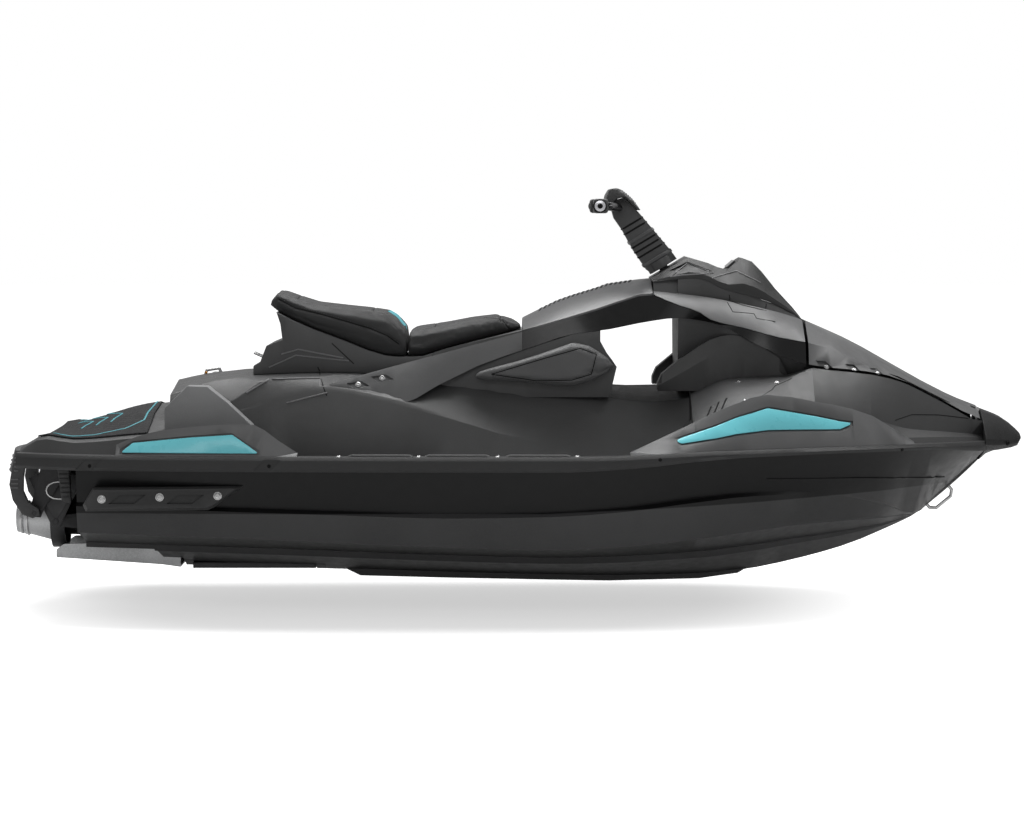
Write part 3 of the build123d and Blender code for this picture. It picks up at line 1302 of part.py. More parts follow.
def build_all():
    hull, shoe = build_hull()
    save("hull", hull)
    save("intake_shoe", shoe)
    deck = build_deck()
    engine = block(ENGINE_X - ENGINE[0] / 2, ENGINE_X + ENGINE[0] / 2, ENGINE[1] / 2,
                   ENGINE_FLOOR, ENGINE_FLOOR + ENGINE[2])
    save("engine", engine)
    rail = build_rails()
    save("gunwale_rails", rail, port(rail))
    nose = hull_form([(x, nose_half(x)) for x in
                      (BOW_JOINT + GAP, 1462, 1478, 1493, 1509, 1540, 1562, 1574)])
    save("nose_cap", nose)
    pads = build_rail_pads()
    save("rail_pads", *pads, *[port(pad) for pad in pads])
    front, rear = build_fairings()
    front_teal, front_cut = build_insert(fairing_front, FRONT_INSERT)
    rear_teal, rear_cut = build_insert(fairing_rear, REAR_INSERT)
    front = max((above_deck(front, 300, 1300) - front_cut).solids(), key=lambda s: s.volume)
    rear = rear - rear_cut
    save("front_fairings", front, port(front))
    save("rear_fairings", rear, port(rear))
    save("front_inserts", front_teal, port(front_teal))
    save("rear_inserts", rear_teal, port(rear_teal))
    save("deck", deck)
    save("saddle", saddle_form() - engine_bay())

    pedestal = save("seat_pedestal", build_pedestal())
    seat_rear, seat_front = build_seat()
    save("seat_rear", seat_rear)
    save("seat_front", seat_front)
    console = build_console()
    spar_rear, spar_front, shroud, cover = build_panels()
    save("console", console)
    spar_rear = spar_rear - console - pedestal
    save("spar_panels_rear", spar_rear, port(spar_rear))
    spar_front = spar_front - console
    save("spar_panels_front", spar_front, port(spar_front))
    save("side_shrouds", shroud, port(shroud))
    save("spar_cover", cover)
    knee_pad = build_knee_pads()
    save("knee_pads", knee_pad, port(knee_pad))
    pod = build_kick_pods() - Pos(0, -GAP, 0) * console
    save("kick_pods", pod, port(pod))
    save("cowl", build_cowl())
    save("display", build_display())
    save("ski_eye", build_ski_eye())
    save("seat_loop", build_seat_loop(pedestal))

    save("hood", build_hood())
    save("hood_hinge", build_hood_hinge())
    save("storage_bin", build_bin())

    riser, bar, pad = build_handlebar()
    save("steering_riser", at_helm(riser))
    save("handlebar", at_helm(bar))
    save("bar_pad", at_helm(pad))
    grip = at_helm(build_grips())
    save("grips", grip, port(grip))
    end = at_helm(build_bar_ends())
    save("bar_ends", end, port(end))
    housing, lever = [at_helm(shape) for shape in build_switches()]
    save("switch_housings", housing, port(housing))
    save("bar_levers", lever, port(lever))

    save("pump_housing", aft(build_pump_housing()))
    save("pump_nozzle", aft(build_pump_nozzle()))
    save("impeller", aft(build_impeller()))
    save("drive_shaft", aft(build_shaft()))
    save("trim_ring", aft(build_trim_ring()))
    save("steering_nozzle", aft(build_steering_nozzle()))
    save("reverse_bucket", aft(build_bucket()))
    save("ride_plate", aft(build_ride_plate()))
    save("intake_grate", aft(build_grate()))

    save("boarding_step", overhang(build_step()))
    bracket = overhang(build_step_bracket())
    save("step_brackets", bracket, port(bracket))
    eye_bracket, eye = [overhang(shape) for shape in build_stern_eyes()]
    save("eye_brackets", eye_bracket, port(eye_bracket))
    save("stern_eyes", eye, port(eye))
    plug = aft(build_drain_plugs())
    save("drain_plugs", plug, port(plug))
    save("tow_eye", tow_eye((sx(1290), 0, 234), (sx(1358), 0, 290), 27, 5) - hull)
    sponson = build_sponson()
    save("sponsons", sponson, port(sponson))
    platform_mat, well_mat = build_mats()
    save("platform_mat", platform_mat)
    save("footwell_mats", well_mat, port(well_mat))
    chock = build_chock()
    save("heel_chocks", chock, port(chock))


build_all()
os.makedirs("parts", exist_ok=True)
for name, solids in NODES.items():
    shape = solids[0] if len(solids) == 1 else Compound(children=solids)
    export_step(Pos(0, 0, -DRAFT) * shape, f"parts/{name}.step")
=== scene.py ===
import json
import math

import bmesh
import bpy
import numpy as np
from mathutils import Matrix, Vector
from mathutils.bvhtree import BVHTree

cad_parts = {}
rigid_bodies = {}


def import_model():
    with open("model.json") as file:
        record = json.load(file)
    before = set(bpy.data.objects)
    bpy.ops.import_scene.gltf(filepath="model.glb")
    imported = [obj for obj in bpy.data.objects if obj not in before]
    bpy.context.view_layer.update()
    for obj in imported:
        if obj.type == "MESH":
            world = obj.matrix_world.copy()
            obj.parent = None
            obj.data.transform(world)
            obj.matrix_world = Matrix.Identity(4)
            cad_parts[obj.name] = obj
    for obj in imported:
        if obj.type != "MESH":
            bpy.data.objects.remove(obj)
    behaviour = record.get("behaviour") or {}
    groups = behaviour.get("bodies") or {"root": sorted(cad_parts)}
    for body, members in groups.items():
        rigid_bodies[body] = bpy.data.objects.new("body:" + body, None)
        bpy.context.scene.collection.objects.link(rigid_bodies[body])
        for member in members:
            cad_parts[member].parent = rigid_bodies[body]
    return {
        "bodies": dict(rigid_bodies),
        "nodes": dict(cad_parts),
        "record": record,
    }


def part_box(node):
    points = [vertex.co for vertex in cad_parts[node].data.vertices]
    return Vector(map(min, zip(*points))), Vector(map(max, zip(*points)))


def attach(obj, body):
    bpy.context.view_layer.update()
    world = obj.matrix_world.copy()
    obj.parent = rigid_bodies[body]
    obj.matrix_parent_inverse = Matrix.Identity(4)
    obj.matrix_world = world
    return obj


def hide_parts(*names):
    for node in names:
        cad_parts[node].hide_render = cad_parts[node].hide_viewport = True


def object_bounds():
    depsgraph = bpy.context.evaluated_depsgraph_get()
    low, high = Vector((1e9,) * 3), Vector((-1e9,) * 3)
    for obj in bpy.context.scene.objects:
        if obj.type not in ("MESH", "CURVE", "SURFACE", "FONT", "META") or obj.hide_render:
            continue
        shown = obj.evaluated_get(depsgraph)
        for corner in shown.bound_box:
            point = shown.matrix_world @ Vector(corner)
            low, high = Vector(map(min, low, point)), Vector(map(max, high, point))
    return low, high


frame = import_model()
record, nodes = frame["record"], frame["nodes"]
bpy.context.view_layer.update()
scene = bpy.context.scene
scene.view_settings.view_transform = "Standard"

CRAFT = next(body for body, o in frame["bodies"].items() if nodes["hull"].parent is o)
HELM = next(body for body, o in frame["bodies"].items() if nodes["handlebar"].parent is o)
HATCH = next(body for body, o in frame["bodies"].items() if nodes["hood"].parent is o)
NOZZLE = next(body for body, o in frame["bodies"].items() if nodes["steering_nozzle"].parent is o)
FOLDING = next(body for body, o in frame["bodies"].items() if nodes["boarding_step"].parent is o)

STARBOARD, PORT = -1, 1
SIDES = (("starboard", STARBOARD), ("port", PORT))


# ---------------------------------------------------------------- camera, light and floor
CAMERA_DISTANCE = 9.8
CAMERA_HEIGHT = 0.929
CAMERA_PITCH = 3.76      # degrees below level
LENS, SENSOR = 111.25, 36    # millimetres
WORLD_LIGHT = (1.0, 0.42, 0.30)  # backdrop's strength for camera, glossy and other rays
FLOOR_LIGHT = (1.0, 0.25, 0.0)   # floor's glow for the same rays
FLOOR_DROP = 0.075       # from the keel to the floor under the hovering hull
FLOOR_HALF = 40.0
FLOOR_COLOUR = 0.62
FLOOR_GLOW = 0.57        # in the shade, against 1.0 beyond its reach
SHADE_CENTRE = (-0.28, 0.15)
SHADE_REACH = (0.85, 1.60)   # distances over which the shade turns to the backdrop's white


def build_camera():
    data = bpy.data.cameras.new("camera")
    data.lens = LENS
    data.sensor_width = SENSOR
    camera = bpy.data.objects.new("camera", data)
    scene.collection.objects.link(camera)
    camera.location = (0, -CAMERA_DISTANCE, CAMERA_HEIGHT)
    camera.rotation_euler = (math.radians(90 - CAMERA_PITCH), 0, 0)
    scene.camera = camera


def by_ray(t, direct, gloss, other):
    """A value that differs for camera and transmission rays, glossy rays and all others."""
    path = t.nodes.new("ShaderNodeLightPath")
    seen = t.nodes.new("ShaderNodeMath")
    seen.operation = "MAXIMUM"
    t.links.new(path.outputs["Is Camera Ray"], seen.inputs[0])
    t.links.new(path.outputs["Is Transmission Ray"], seen.inputs[1])
    shine = t.nodes.new("ShaderNodeMapRange")
    shine.inputs["To Min"].default_value = other
    shine.inputs["To Max"].default_value = gloss
    t.links.new(path.outputs["Is Glossy Ray"], shine.inputs["Value"])
    value = t.nodes.new("ShaderNodeMapRange")
    value.inputs["To Max"].default_value = direct
    t.links.new(seen.outputs[0], value.inputs["Value"])
    t.links.new(shine.outputs[0], value.inputs["To Min"])
    return value.outputs[0]


def build_world():
    world = bpy.data.worlds.new("studio")
    scene.world = world
    world.use_nodes = True
    t = world.node_tree
    back = t.nodes["Background"]
    back.inputs["Color"].default_value = (1, 1, 1, 1)
    t.links.new(by_ray(t, *WORLD_LIGHT), back.inputs["Strength"])


def area(name, place, target, size, watts):
    data = bpy.data.lights.new(name, "AREA")
    data.shape = "RECTANGLE"
    data.size, data.size_y = size
    data.energy = watts
    lamp = bpy.data.objects.new(name, data)
    scene.collection.objects.link(lamp)
    lamp.location = place
    lamp.rotation_euler = (Vector(target) - Vector(place)).to_track_quat("-Z", "Y").to_euler()


def build_floor():
    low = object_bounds()[0]
    bpy.ops.mesh.primitive_plane_add(size=2 * FLOOR_HALF, location=(0, 0, low.z - FLOOR_DROP))
    floor = bpy.context.object
    floor.name = "floor"
    m = bpy.data.materials.new("floor_white")
    m.use_nodes = True
    t = m.node_tree
    t.nodes.clear()
    out = t.nodes.new("ShaderNodeOutputMaterial")
    diffuse = t.nodes.new("ShaderNodeBsdfDiffuse")
    diffuse.inputs["Color"].default_value = (FLOOR_COLOUR, FLOOR_COLOUR, FLOOR_COLOUR, 1)
    glow = t.nodes.new("ShaderNodeEmission")
    place = t.nodes.new("ShaderNodeNewGeometry")
    length = t.nodes.new("ShaderNodeVectorMath")
    length.operation = "LENGTH"
    middle = t.nodes.new("ShaderNodeVectorMath")
    middle.operation = "SUBTRACT"
    middle.inputs[1].default_value = (*SHADE_CENTRE, low.z - FLOOR_DROP)
    t.links.new(place.outputs["Position"], middle.inputs[0])
    t.links.new(middle.outputs[0], length.inputs[0])
    reach = t.nodes.new("ShaderNodeMapRange")
    reach.interpolation_type = "SMOOTHSTEP"
    reach.inputs["From Min"].default_value = SHADE_REACH[0]
    reach.inputs["From Max"].default_value = SHADE_REACH[1]
    reach.inputs["To Min"].default_value = FLOOR_GLOW
    reach.inputs["To Max"].default_value = 1.0
    t.links.new(length.outputs["Value"], reach.inputs["Value"])
    gate = t.nodes.new("ShaderNodeMath")
    gate.operation = "MULTIPLY"
    t.links.new(reach.outputs[0], gate.inputs[0])
    t.links.new(by_ray(t, *FLOOR_LIGHT), gate.inputs[1])
    t.links.new(gate.outputs[0], glow.inputs["Strength"])
    both = t.nodes.new("ShaderNodeAddShader")
    t.links.new(diffuse.outputs[0], both.inputs[0])
    t.links.new(glow.outputs[0], both.inputs[1])
    t.links.new(both.outputs[0], out.inputs["Surface"])
    floor.data.materials.append(m)


# ---------------------------------------------------------------- materials
BROAD, PATCHY, SPECKS, FINE = 5.0, 34.0, 260.0, 420.0    # scales of the noises
FINE_DEPTH = 0.00004     # relief of a finish that has no grain or pattern
PATTERN_DEPTH = 0.0022
COAT_ROUGH = 0.12
MAT_PITCH = 0.018        # spacing of the mats' grooves
MAT_SLANT = 1.7          # their slope


def link(t, a, b):
    t.links.new(a, b)


def noise(t, coord, scale, detail=2.0):
    n = t.nodes.new("ShaderNodeTexNoise")
    n.inputs["Scale"].default_value = scale
    n.inputs["Detail"].default_value = detail
    link(t, coord, n.inputs["Vector"])
    return n.outputs["Fac"]


def spread(t, value, low, high, start=0.3, end=0.7):
    m = t.nodes.new("ShaderNodeMapRange")
    m.inputs["From Min"].default_value = start
    m.inputs["From Max"].default_value = end
    m.inputs["To Min"].default_value = low
    m.inputs["To Max"].default_value = high
    link(t, value, m.inputs["Value"])
    return m.outputs[0]


def mixed(t, factor, a, b):
    """Colour mix of two colours or sockets by a factor socket."""
    m = t.nodes.new("ShaderNodeMix")
    m.data_type = "RGBA"
    link(t, factor, m.inputs["Factor"])
    for socket, colour in ((m.inputs[6], a), (m.inputs[7], b)):
        if isinstance(colour, tuple):
            socket.default_value = (*colour, 1)
        else:
            link(t, colour, socket)
    return m.outputs[2]


def scaled(colour, factor):
    return tuple(min(1.0, c * factor) for c in colour)


def bump(t, height, depth, before=None):
    b = t.nodes.new("ShaderNodeBump")
    b.inputs["Strength"].default_value = 1.0
    b.inputs["Distance"].default_value = depth
    link(t, height, b.inputs["Height"])
    if before is not None:
        link(t, before, b.inputs["Normal"])
    return b.outputs["Normal"]


def pebbles(t, coord, scale):
    """Fine moulded or leather grain: the distance to cell edges."""
    v = t.nodes.new("ShaderNodeTexVoronoi")
    v.feature = "DISTANCE_TO_EDGE"
    v.inputs["Scale"].default_value = scale
    link(t, coord, v.inputs["Vector"])
    return spread(t, v.outputs["Distance"], 0.0, 1.0, 0.0, 0.25)


def diamonds(t, coord, pitch):
    """Diamond grooves of a foam traction mat, seen from above."""
    parts = t.nodes.new("ShaderNodeSeparateXYZ")
    link(t, coord, parts.inputs[0])
    lines = []
    for sign in (1, -1):
        slant = t.nodes.new("ShaderNodeMath")
        slant.operation = "MULTIPLY_ADD"
        link(t, parts.outputs["Y"], slant.inputs[0])
        slant.inputs[1].default_value = MAT_SLANT * sign
        link(t, parts.outputs["X"], slant.inputs[2])
        wave = t.nodes.new("ShaderNodeMath")
        wave.operation = "PINGPONG"
        link(t, slant.outputs[0], wave.inputs[0])
        wave.inputs[1].default_value = pitch
        lines.append(spread(t, wave.outputs[0], 0.0, 1.0, 0.0, 0.2 * pitch))
    least = t.nodes.new("ShaderNodeMath")
    least.operation = "MINIMUM"
    link(t, lines[0], least.inputs[0])
    link(t, lines[1], least.inputs[1])
    return least.outputs[0]


def surface(name, colour, rough, metal=0.0, coat=0.0, specular=0.5, tone=0.10, grain=None,
            depth=0.0, pattern=None, edge_wear_and_highlight=0.0, brushed=False, sheen=0.0, two_tone=None):
    """A finish with slow tone changes, uneven gloss, fine relief and lighter edges, partly wear
    and partly a painted highlight on the creases.
    """
    m = bpy.data.materials.new(name)
    m.use_nodes = True
    t = m.node_tree
    b = t.nodes["Principled BSDF"]
    coord = t.nodes.new("ShaderNodeTexCoord").outputs["Object"]
    if brushed:
        stretch = t.nodes.new("ShaderNodeMapping")
        stretch.inputs["Scale"].default_value = (1.0, 6.0, 14.0)
        link(t, coord, stretch.inputs["Vector"])
        coord = stretch.outputs[0]
    broad = spread(t, noise(t, coord, BROAD), 0.0, 1.0)
    base = mixed(t, broad, scaled(colour, 1 - tone), scaled(colour, 1 + tone))
    speck = spread(t, noise(t, coord, SPECKS, 4.0), 0.0, 1.0, 0.35, 0.75)
    base = mixed(t, spread(t, speck, 0.0, 0.5, 0.0, 1.0), base, scaled(colour, 1 + 2 * tone))
    if edge_wear_and_highlight:
        # painted highlight: convex edges are lightened, partly as wear and partly to stand in for
        # the light that the creases catch
        edge = t.nodes.new("ShaderNodeNewGeometry").outputs["Pointiness"]
        wear_and_highlight_mask = spread(t, edge, 0.0, edge_wear_and_highlight, 0.51, 0.58)
        base = mixed(t, wear_and_highlight_mask, base, scaled(tuple(c + 0.02 for c in colour), 2.2))
    if two_tone:
        base = two_tone(t, coord, base)
    link(t, base, b.inputs["Base Color"])
    patchy = noise(t, coord, PATCHY, 3.0)
    link(t, spread(t, patchy, rough - 0.05, rough + 0.05), b.inputs["Roughness"])
    b.inputs["Metallic"].default_value = metal
    b.inputs["Coat Weight"].default_value = coat
    b.inputs["Coat Roughness"].default_value = COAT_ROUGH
    b.inputs["Specular IOR Level"].default_value = specular
    b.inputs["Sheen Weight"].default_value = sheen
    normal = None
    if grain:
        normal = bump(t, pebbles(t, coord, grain), depth)
    if pattern:
        normal = bump(t, pattern(t, coord), PATTERN_DEPTH, normal)
    if normal is None:
        normal = bump(t, noise(t, coord, FINE, 3.0), FINE_DEPTH)
    link(t, normal, b.inputs["Normal"])
    return m


def mat_grooves(t, coord):
    return diamonds(t, coord, MAT_PITCH)


def side_band(t, coord, base):
    """Darker upper band along the hull's side, above a line that climbs to the bow."""
    parts = t.nodes.new("ShaderNodeSeparateXYZ")
    link(t, coord, parts.inputs[0])
    line = spread(t, parts.outputs["X"], 0.024, 0.080, 0.1, 1.3)
    above = t.nodes.new("ShaderNodeMath")
    above.operation = "SUBTRACT"
    link(t, parts.outputs["Z"], above.inputs[0])
    link(t, line, above.inputs[1])
    return mixed(t, spread(t, above.outputs[0], 0.0, 1.0, -0.0015, 0.0015), base,
                 (0.0045, 0.0046, 0.0048))


FINISHES = {             # the record's material slots
    "hull_black": dict(colour=(0.050, 0.0502, 0.0510), rough=0.36, coat=0.05, specular=0.22,
                       two_tone=side_band),
    "moulded_black": dict(colour=(0.050, 0.0503, 0.0508), rough=0.44, specular=0.42, grain=620,
                          depth=0.00010, edge_wear_and_highlight=0.35),
    "panel_satin": dict(colour=(0.072, 0.0725, 0.0735), rough=0.38, specular=0.4, edge_wear_and_highlight=0.3,
                        grain=900, depth=0.00004),
    "panel_gloss": dict(colour=(0.0045, 0.0045, 0.0047), rough=0.22, coat=0.25, specular=0.25),
    "teal_gloss": dict(colour=(0.165, 0.64, 0.72), rough=0.30, coat=0.2, tone=0.015),
    "seat_vinyl": dict(colour=(0.020, 0.0202, 0.0205), rough=0.50, specular=0.3, grain=520,
                       depth=0.00022, sheen=0.05),
    "pad_vinyl": dict(colour=(0.056, 0.0562, 0.0566), rough=0.55, specular=0.4, grain=430,
                      depth=0.00022, sheen=0.05),
    "rail_rubber": dict(colour=(0.026, 0.0262, 0.0266), rough=0.50, specular=0.35, grain=700,
                        depth=0.00008, edge_wear_and_highlight=0.25),
    "grip_rubber": dict(colour=(0.012, 0.012, 0.012), rough=0.7, specular=0.3, grain=350,
                        depth=0.0003),
    "mat_foam": dict(colour=(0.022, 0.0225, 0.0235), rough=0.8, specular=0.3, grain=480,
                     depth=0.0002, pattern=mat_grooves),
    "cast_alloy": dict(colour=(0.46, 0.465, 0.47), rough=0.42, metal=0.9, tone=0.22, grain=260,
                       depth=0.00015),
    "stainless": dict(colour=(0.50, 0.50, 0.50), rough=0.24, metal=1.0, tone=0.06,
                      brushed=True),
    "bar_metal": dict(colour=(0.02, 0.02, 0.021), rough=0.36, metal=0.4),
    "bar_end_alloy": dict(colour=(0.70, 0.70, 0.73), rough=0.26, metal=0.9, tone=0.06),
    "engine_iron": dict(colour=(0.09, 0.09, 0.095), rough=0.62, metal=0.3, grain=300,
                        depth=0.0003, tone=0.25),
    "display_glass": dict(colour=(0.008, 0.008, 0.010), rough=0.07, coat=0.5),
}
EXTRA = {                # looks that are no slot of the record
    "groove_black": dict(colour=(0.004, 0.004, 0.004), rough=0.7, specular=0.2),
    "teal_line": dict(colour=(0.06, 0.30, 0.35), rough=0.5, tone=0.06),
    "thread_grey": dict(colour=(0.045, 0.045, 0.046), rough=0.7, grain=900, depth=0.0002),
    "knee_vinyl": dict(colour=(0.098, 0.0985, 0.0995), rough=0.48, specular=0.45, grain=430,
                       depth=0.00022, sheen=0.05),
    "amber_lens": dict(colour=(0.62, 0.25, 0.02), rough=0.3, tone=0.05),
    "dark_alloy": dict(colour=(0.030, 0.030, 0.031), rough=0.42, metal=0.5, tone=0.2, grain=260,
                       depth=0.00015, edge_wear_and_highlight=0.5),
    "grey_plastic": dict(colour=(0.17, 0.172, 0.174), rough=0.45, grain=620, depth=0.00010,
                         edge_wear_and_highlight=0.2),
    "spar_satin": dict(colour=(0.056, 0.0565, 0.0575), rough=0.34, specular=0.6, edge_wear_and_highlight=0.3,
                       grain=900, depth=0.00004),
    # darker copies of moulded black: painted shade for parts that catch more light, not a darker
    # plastic
    "shaded_moulded_black": dict(colour=(0.016, 0.0161, 0.0163), rough=0.44, specular=0.42, grain=620,
                       depth=0.00010, edge_wear_and_highlight=0.35),
    "darker_shaded_moulded_black": dict(colour=(0.010, 0.010, 0.0102), rough=0.45, specular=0.25, grain=620,
                       depth=0.00010, edge_wear_and_highlight=0.2),
    # light grey for the step's grip ribs, and a painted highlight on the crease beads of the
    # pedestal, saddle and cowl
    "rib_and_highlight_grey": dict(colour=(0.15, 0.15, 0.153), rough=0.6, grain=700, depth=0.0001),
}
made = {name: surface(name, **look) for name, look in {**FINISHES, **EXTRA}.items()}


# ---------------------------------------------------------------- carried CAD pieces
SOFT_EDGE = 0.0036       # radius put on moulded edges
EDGE_CUTS = 2
CREASE = math.radians(24)
WELD = 2e-5              # distance under which facets' corners are one point


def smooth_group():
    """Geometry nodes that weld a node's facets and shade it smooth between creases."""
    g = bpy.data.node_groups.new("smooth_between_creases", "GeometryNodeTree")
    g.interface.new_socket("Geometry", in_out="INPUT", socket_type="NodeSocketGeometry")
    g.interface.new_socket("Geometry", in_out="OUTPUT", socket_type="NodeSocketGeometry")
    start = g.nodes.new("NodeGroupInput")
    weld = g.nodes.new("GeometryNodeMergeByDistance")
    weld.inputs["Distance"].default_value = WELD
    soft = g.nodes.new("GeometryNodeSetShadeSmooth")
    soft.domain = "FACE"
    sharp = g.nodes.new("GeometryNodeSetShadeSmooth")
    sharp.domain = "EDGE"
    sharp.inputs["Shade Smooth"].default_value = False
    angle = g.nodes.new("GeometryNodeInputMeshEdgeAngle")
    over = g.nodes.new("FunctionNodeCompare")
    over.operation = "GREATER_THAN"
    over.inputs["B"].default_value = CREASE
    end = g.nodes.new("NodeGroupOutput")
    g.links.new(start.outputs[0], weld.inputs["Geometry"])
    g.links.new(weld.outputs[0], soft.inputs["Geometry"])
    g.links.new(soft.outputs[0], sharp.inputs["Geometry"])
    g.links.new(angle.outputs["Unsigned Angle"], over.inputs["A"])
    g.links.new(over.outputs["Result"], sharp.inputs["Selection"])
    g.links.new(sharp.outputs[0], end.inputs[0])
    return g


SMOOTH = smooth_group()


def soften(o, width):
    """Welds, bevels the creased edges and shades smooth between them."""
    weld = o.modifiers.new("weld", "WELD")
    weld.merge_threshold = WELD
    if width:
        edge = o.modifiers.new("edge", "BEVEL")
        edge.width = width
        edge.segments = EDGE_CUTS
        edge.limit_method = "ANGLE"
        edge.angle_limit = CREASE
        edge.use_clamp_overlap = True
    smooth = o.modifiers.new("smooth", "NODES")
    smooth.node_group = SMOOTH


slots = {s["node"]: s["material_slot"] for s in record["subparts"]}
# edge radius of nodes that differ from most
EDGES = {"steering_nozzle": 0.001, "trim_ring": 0.001, "impeller": 0.0, "hood_hinge": 0.0005,
         "display": 0.001, "drain_plugs": 0.0006, "intake_grate": 0.001, "ski_eye": 0.0,
         "seat_loop": 0.0, "stern_eyes": 0.0, "tow_eye": 0.0, "handlebar": 0.0,
         "bar_levers": 0.001, "grips": 0.0015, "bar_ends": 0.0008, "drive_shaft": 0.0008,
         "switch_housings": 0.009, "engine": 0.006, "front_inserts": 0.0035,
         "rear_inserts": 0.0035, "hull": 0.003, "saddle": 0.004, "rail_pads": 0.002}
# look of nodes that differ from the rest of their slot; the cowl, kick pods, sponsons and nose cap
# take darker copies of moulded black, painted shade that offsets the light falling on them
LOOKS = {"pump_nozzle": "dark_alloy", "reverse_bucket": "dark_alloy", "trim_ring": "dark_alloy",
         "intake_shoe": "dark_alloy", "intake_grate": "dark_alloy", "pump_housing": "dark_alloy",
         "heel_chocks": "grey_plastic", "spar_cover": "spar_satin", "nose_cap": "darker_shaded_moulded_black",
         "step_brackets": "dark_alloy", "cowl": "shaded_moulded_black", "kick_pods": "shaded_moulded_black",
         "sponsons": "shaded_moulded_black"}


def dress_nodes():
    for name, o in nodes.items():
        o.data.materials.clear()
        o.data.materials.append(made[LOOKS.get(name, slots[name])])
        soften(o, EDGES.get(name, SOFT_EDGE))


# ---------------------------------------------------------------- tools for added pieces
STEP = 0.012             # spacing of points that follow a surface
FAR = 3.0                # from the centre planes to where rays start, outside the craft


def tree_of(*names):
    """Search tree over CAD nodes or pieces, at rest in the row frame."""
    points, faces = [], []
    for name in names:
        o = name if isinstance(name, bpy.types.Object) else nodes[name]
        base = len(points)
        points += [v.co.copy() for v in o.data.vertices]
        faces += [[base + i for i in p.vertices] for p in o.data.polygons]
    return BVHTree.FromPolygons(points, faces)


def from_side(tree, side):
    """Puts an (x, z) place on the outer face of one side."""
    def put(x, z):
        return tree.ray_cast(Vector((x, FAR * side, z)), Vector((0, -side, 0)))[:2]
    return put


def from_top(tree, side=STARBOARD):
    """Puts an (x, distance outboard) place on the top face."""
    def put(x, y):
        return tree.ray_cast(Vector((x, y * side, FAR)), Vector((0, 0, -1)))[:2]
    return put


def along(put, corners, closed=False):
    """Points and normals on a surface along straight runs between corners."""
    ends = corners + corners[:1] if closed else corners
    rows = []
    for a, b in zip(ends, ends[1:]):
        count = max(1, round(math.dist(a, b) / STEP))
        for k in range(count):
            t = k / count
            rows.append(put(a[0] + (b[0] - a[0]) * t, a[1] + (b[1] - a[1]) * t))
    if not closed:
        rows.append(put(*ends[-1]))
    return [row for row in rows if row[0] is not None]


def piece(name, bm, look, body, slot):
    """A finished piece from a bmesh, riding on a body."""
    bmesh.ops.recalc_face_normals(bm, faces=bm.faces)
    mesh = bpy.data.meshes.new(name)
    bm.to_mesh(mesh)
    bm.free()
    mesh.materials.append(made[look])
    for p in mesh.polygons:
        p.use_smooth = True
    o = bpy.data.objects.new(name, mesh)
    scene.collection.objects.link(o)
    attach(o, body)
    smooth = o.modifiers.new("smooth", "NODES")
    smooth.node_group = SMOOTH
    return o


SUNK = 0.0006            # depth of a strip's foot below the surface


def add_strip(bm, rows, width, height, closed=False):
    """A low rounded bead that lies on a surface along rows of (point, normal)."""
    if len(rows) < 2:
        return
    profile = [(-0.5, -SUNK), (-0.5, 0.55 * height), (-0.3, height), (0.3, height),
               (0.5, 0.55 * height), (0.5, -SUNK)]
    rings = []
    for i, (p, n) in enumerate(rows):
        before = rows[i - 1][0] if i or closed else p
        after = rows[(i + 1) % len(rows)][0] if i + 1 < len(rows) or closed else p
        run = (after - before).normalized()
        across = run.cross(n).normalized()
        rings.append([bm.verts.new(p + across * (u * width) + n * v) for u, v in profile])
    pairs = list(zip(rings, rings[1:] + rings[:1])) if closed else list(zip(rings, rings[1:]))
    for a, b in pairs:
        for k in range(len(profile)):
            j = (k + 1) % len(profile)
            bm.faces.new((a[k], a[j], b[j], b[k]))
    if not closed:
        bm.faces.new(rings[0])
        bm.faces.new(rings[-1])


def strips(name, paths, width, height, look, body, slot, closed=False):
    """One piece of several strips; each path is (put, corners)."""
    bm = bmesh.new()
    for put, corners in paths:
        add_strip(bm, along(put, corners, closed), width, height, closed)
    return piece(name, bm, look, body, slot)


# radius and height of a cap screw's rings, as shares of its radius
HEAD = [(1.30, -0.10), (1.30, 0.12), (1.18, 0.20), (1.0, 0.22), (0.97, 0.50), (0.82, 0.66),
        (0.50, 0.72), (0.44, 0.70), (0.42, 0.36)]
HEAD_SIDES = 18


def turn_to(n):
    return n.to_track_quat("Z", "Y").to_matrix().to_4x4()


def add_head(bm, place, n, radius):
    """A domed cap screw with its washer face and socket."""
    m = Matrix.Translation(place) @ turn_to(n)
    rings = []
    for r, h in HEAD:
        ring = []
        for k in range(HEAD_SIDES):
            a = math.tau * k / HEAD_SIDES
            ring.append(bm.verts.new(m @ Vector((r * radius * math.cos(a),
                                                 r * radius * math.sin(a), h * radius))))
        rings.append(ring)
    for a, b in zip(rings, rings[1:]):
        for k in range(HEAD_SIDES):
            j = (k + 1) % HEAD_SIDES
            bm.faces.new((a[k], a[j], b[j], b[k]))
    bm.faces.new(rings[0])
    bm.faces.new(rings[-1])


def heads(name, places, radius, look, body, slot):
    """Screws as one piece; each place is a put and the two numbers that it takes."""
    bm = bmesh.new()
    for put, a, b in places:
        p, n = put(a, b)
        if p is not None:
            add_head(bm, p, n, radius)
    return piece(name, bm, look, body, slot)


def ring_rows(tree, centre, axis, reach, count=36):
    """Rows round a piece where a plane across its axis meets its outer face."""
    u = axis.orthogonal().normalized()
    v = axis.cross(u).normalized()
    rows = []
    for k in range(count):
        a = math.tau * k / count
        out = u * math.cos(a) + v * math.sin(a)
        p, n, _, _ = tree.ray_cast(centre + out * reach, -out, reach)
        if p is not None:
            rows.append((p, n))
    return rows


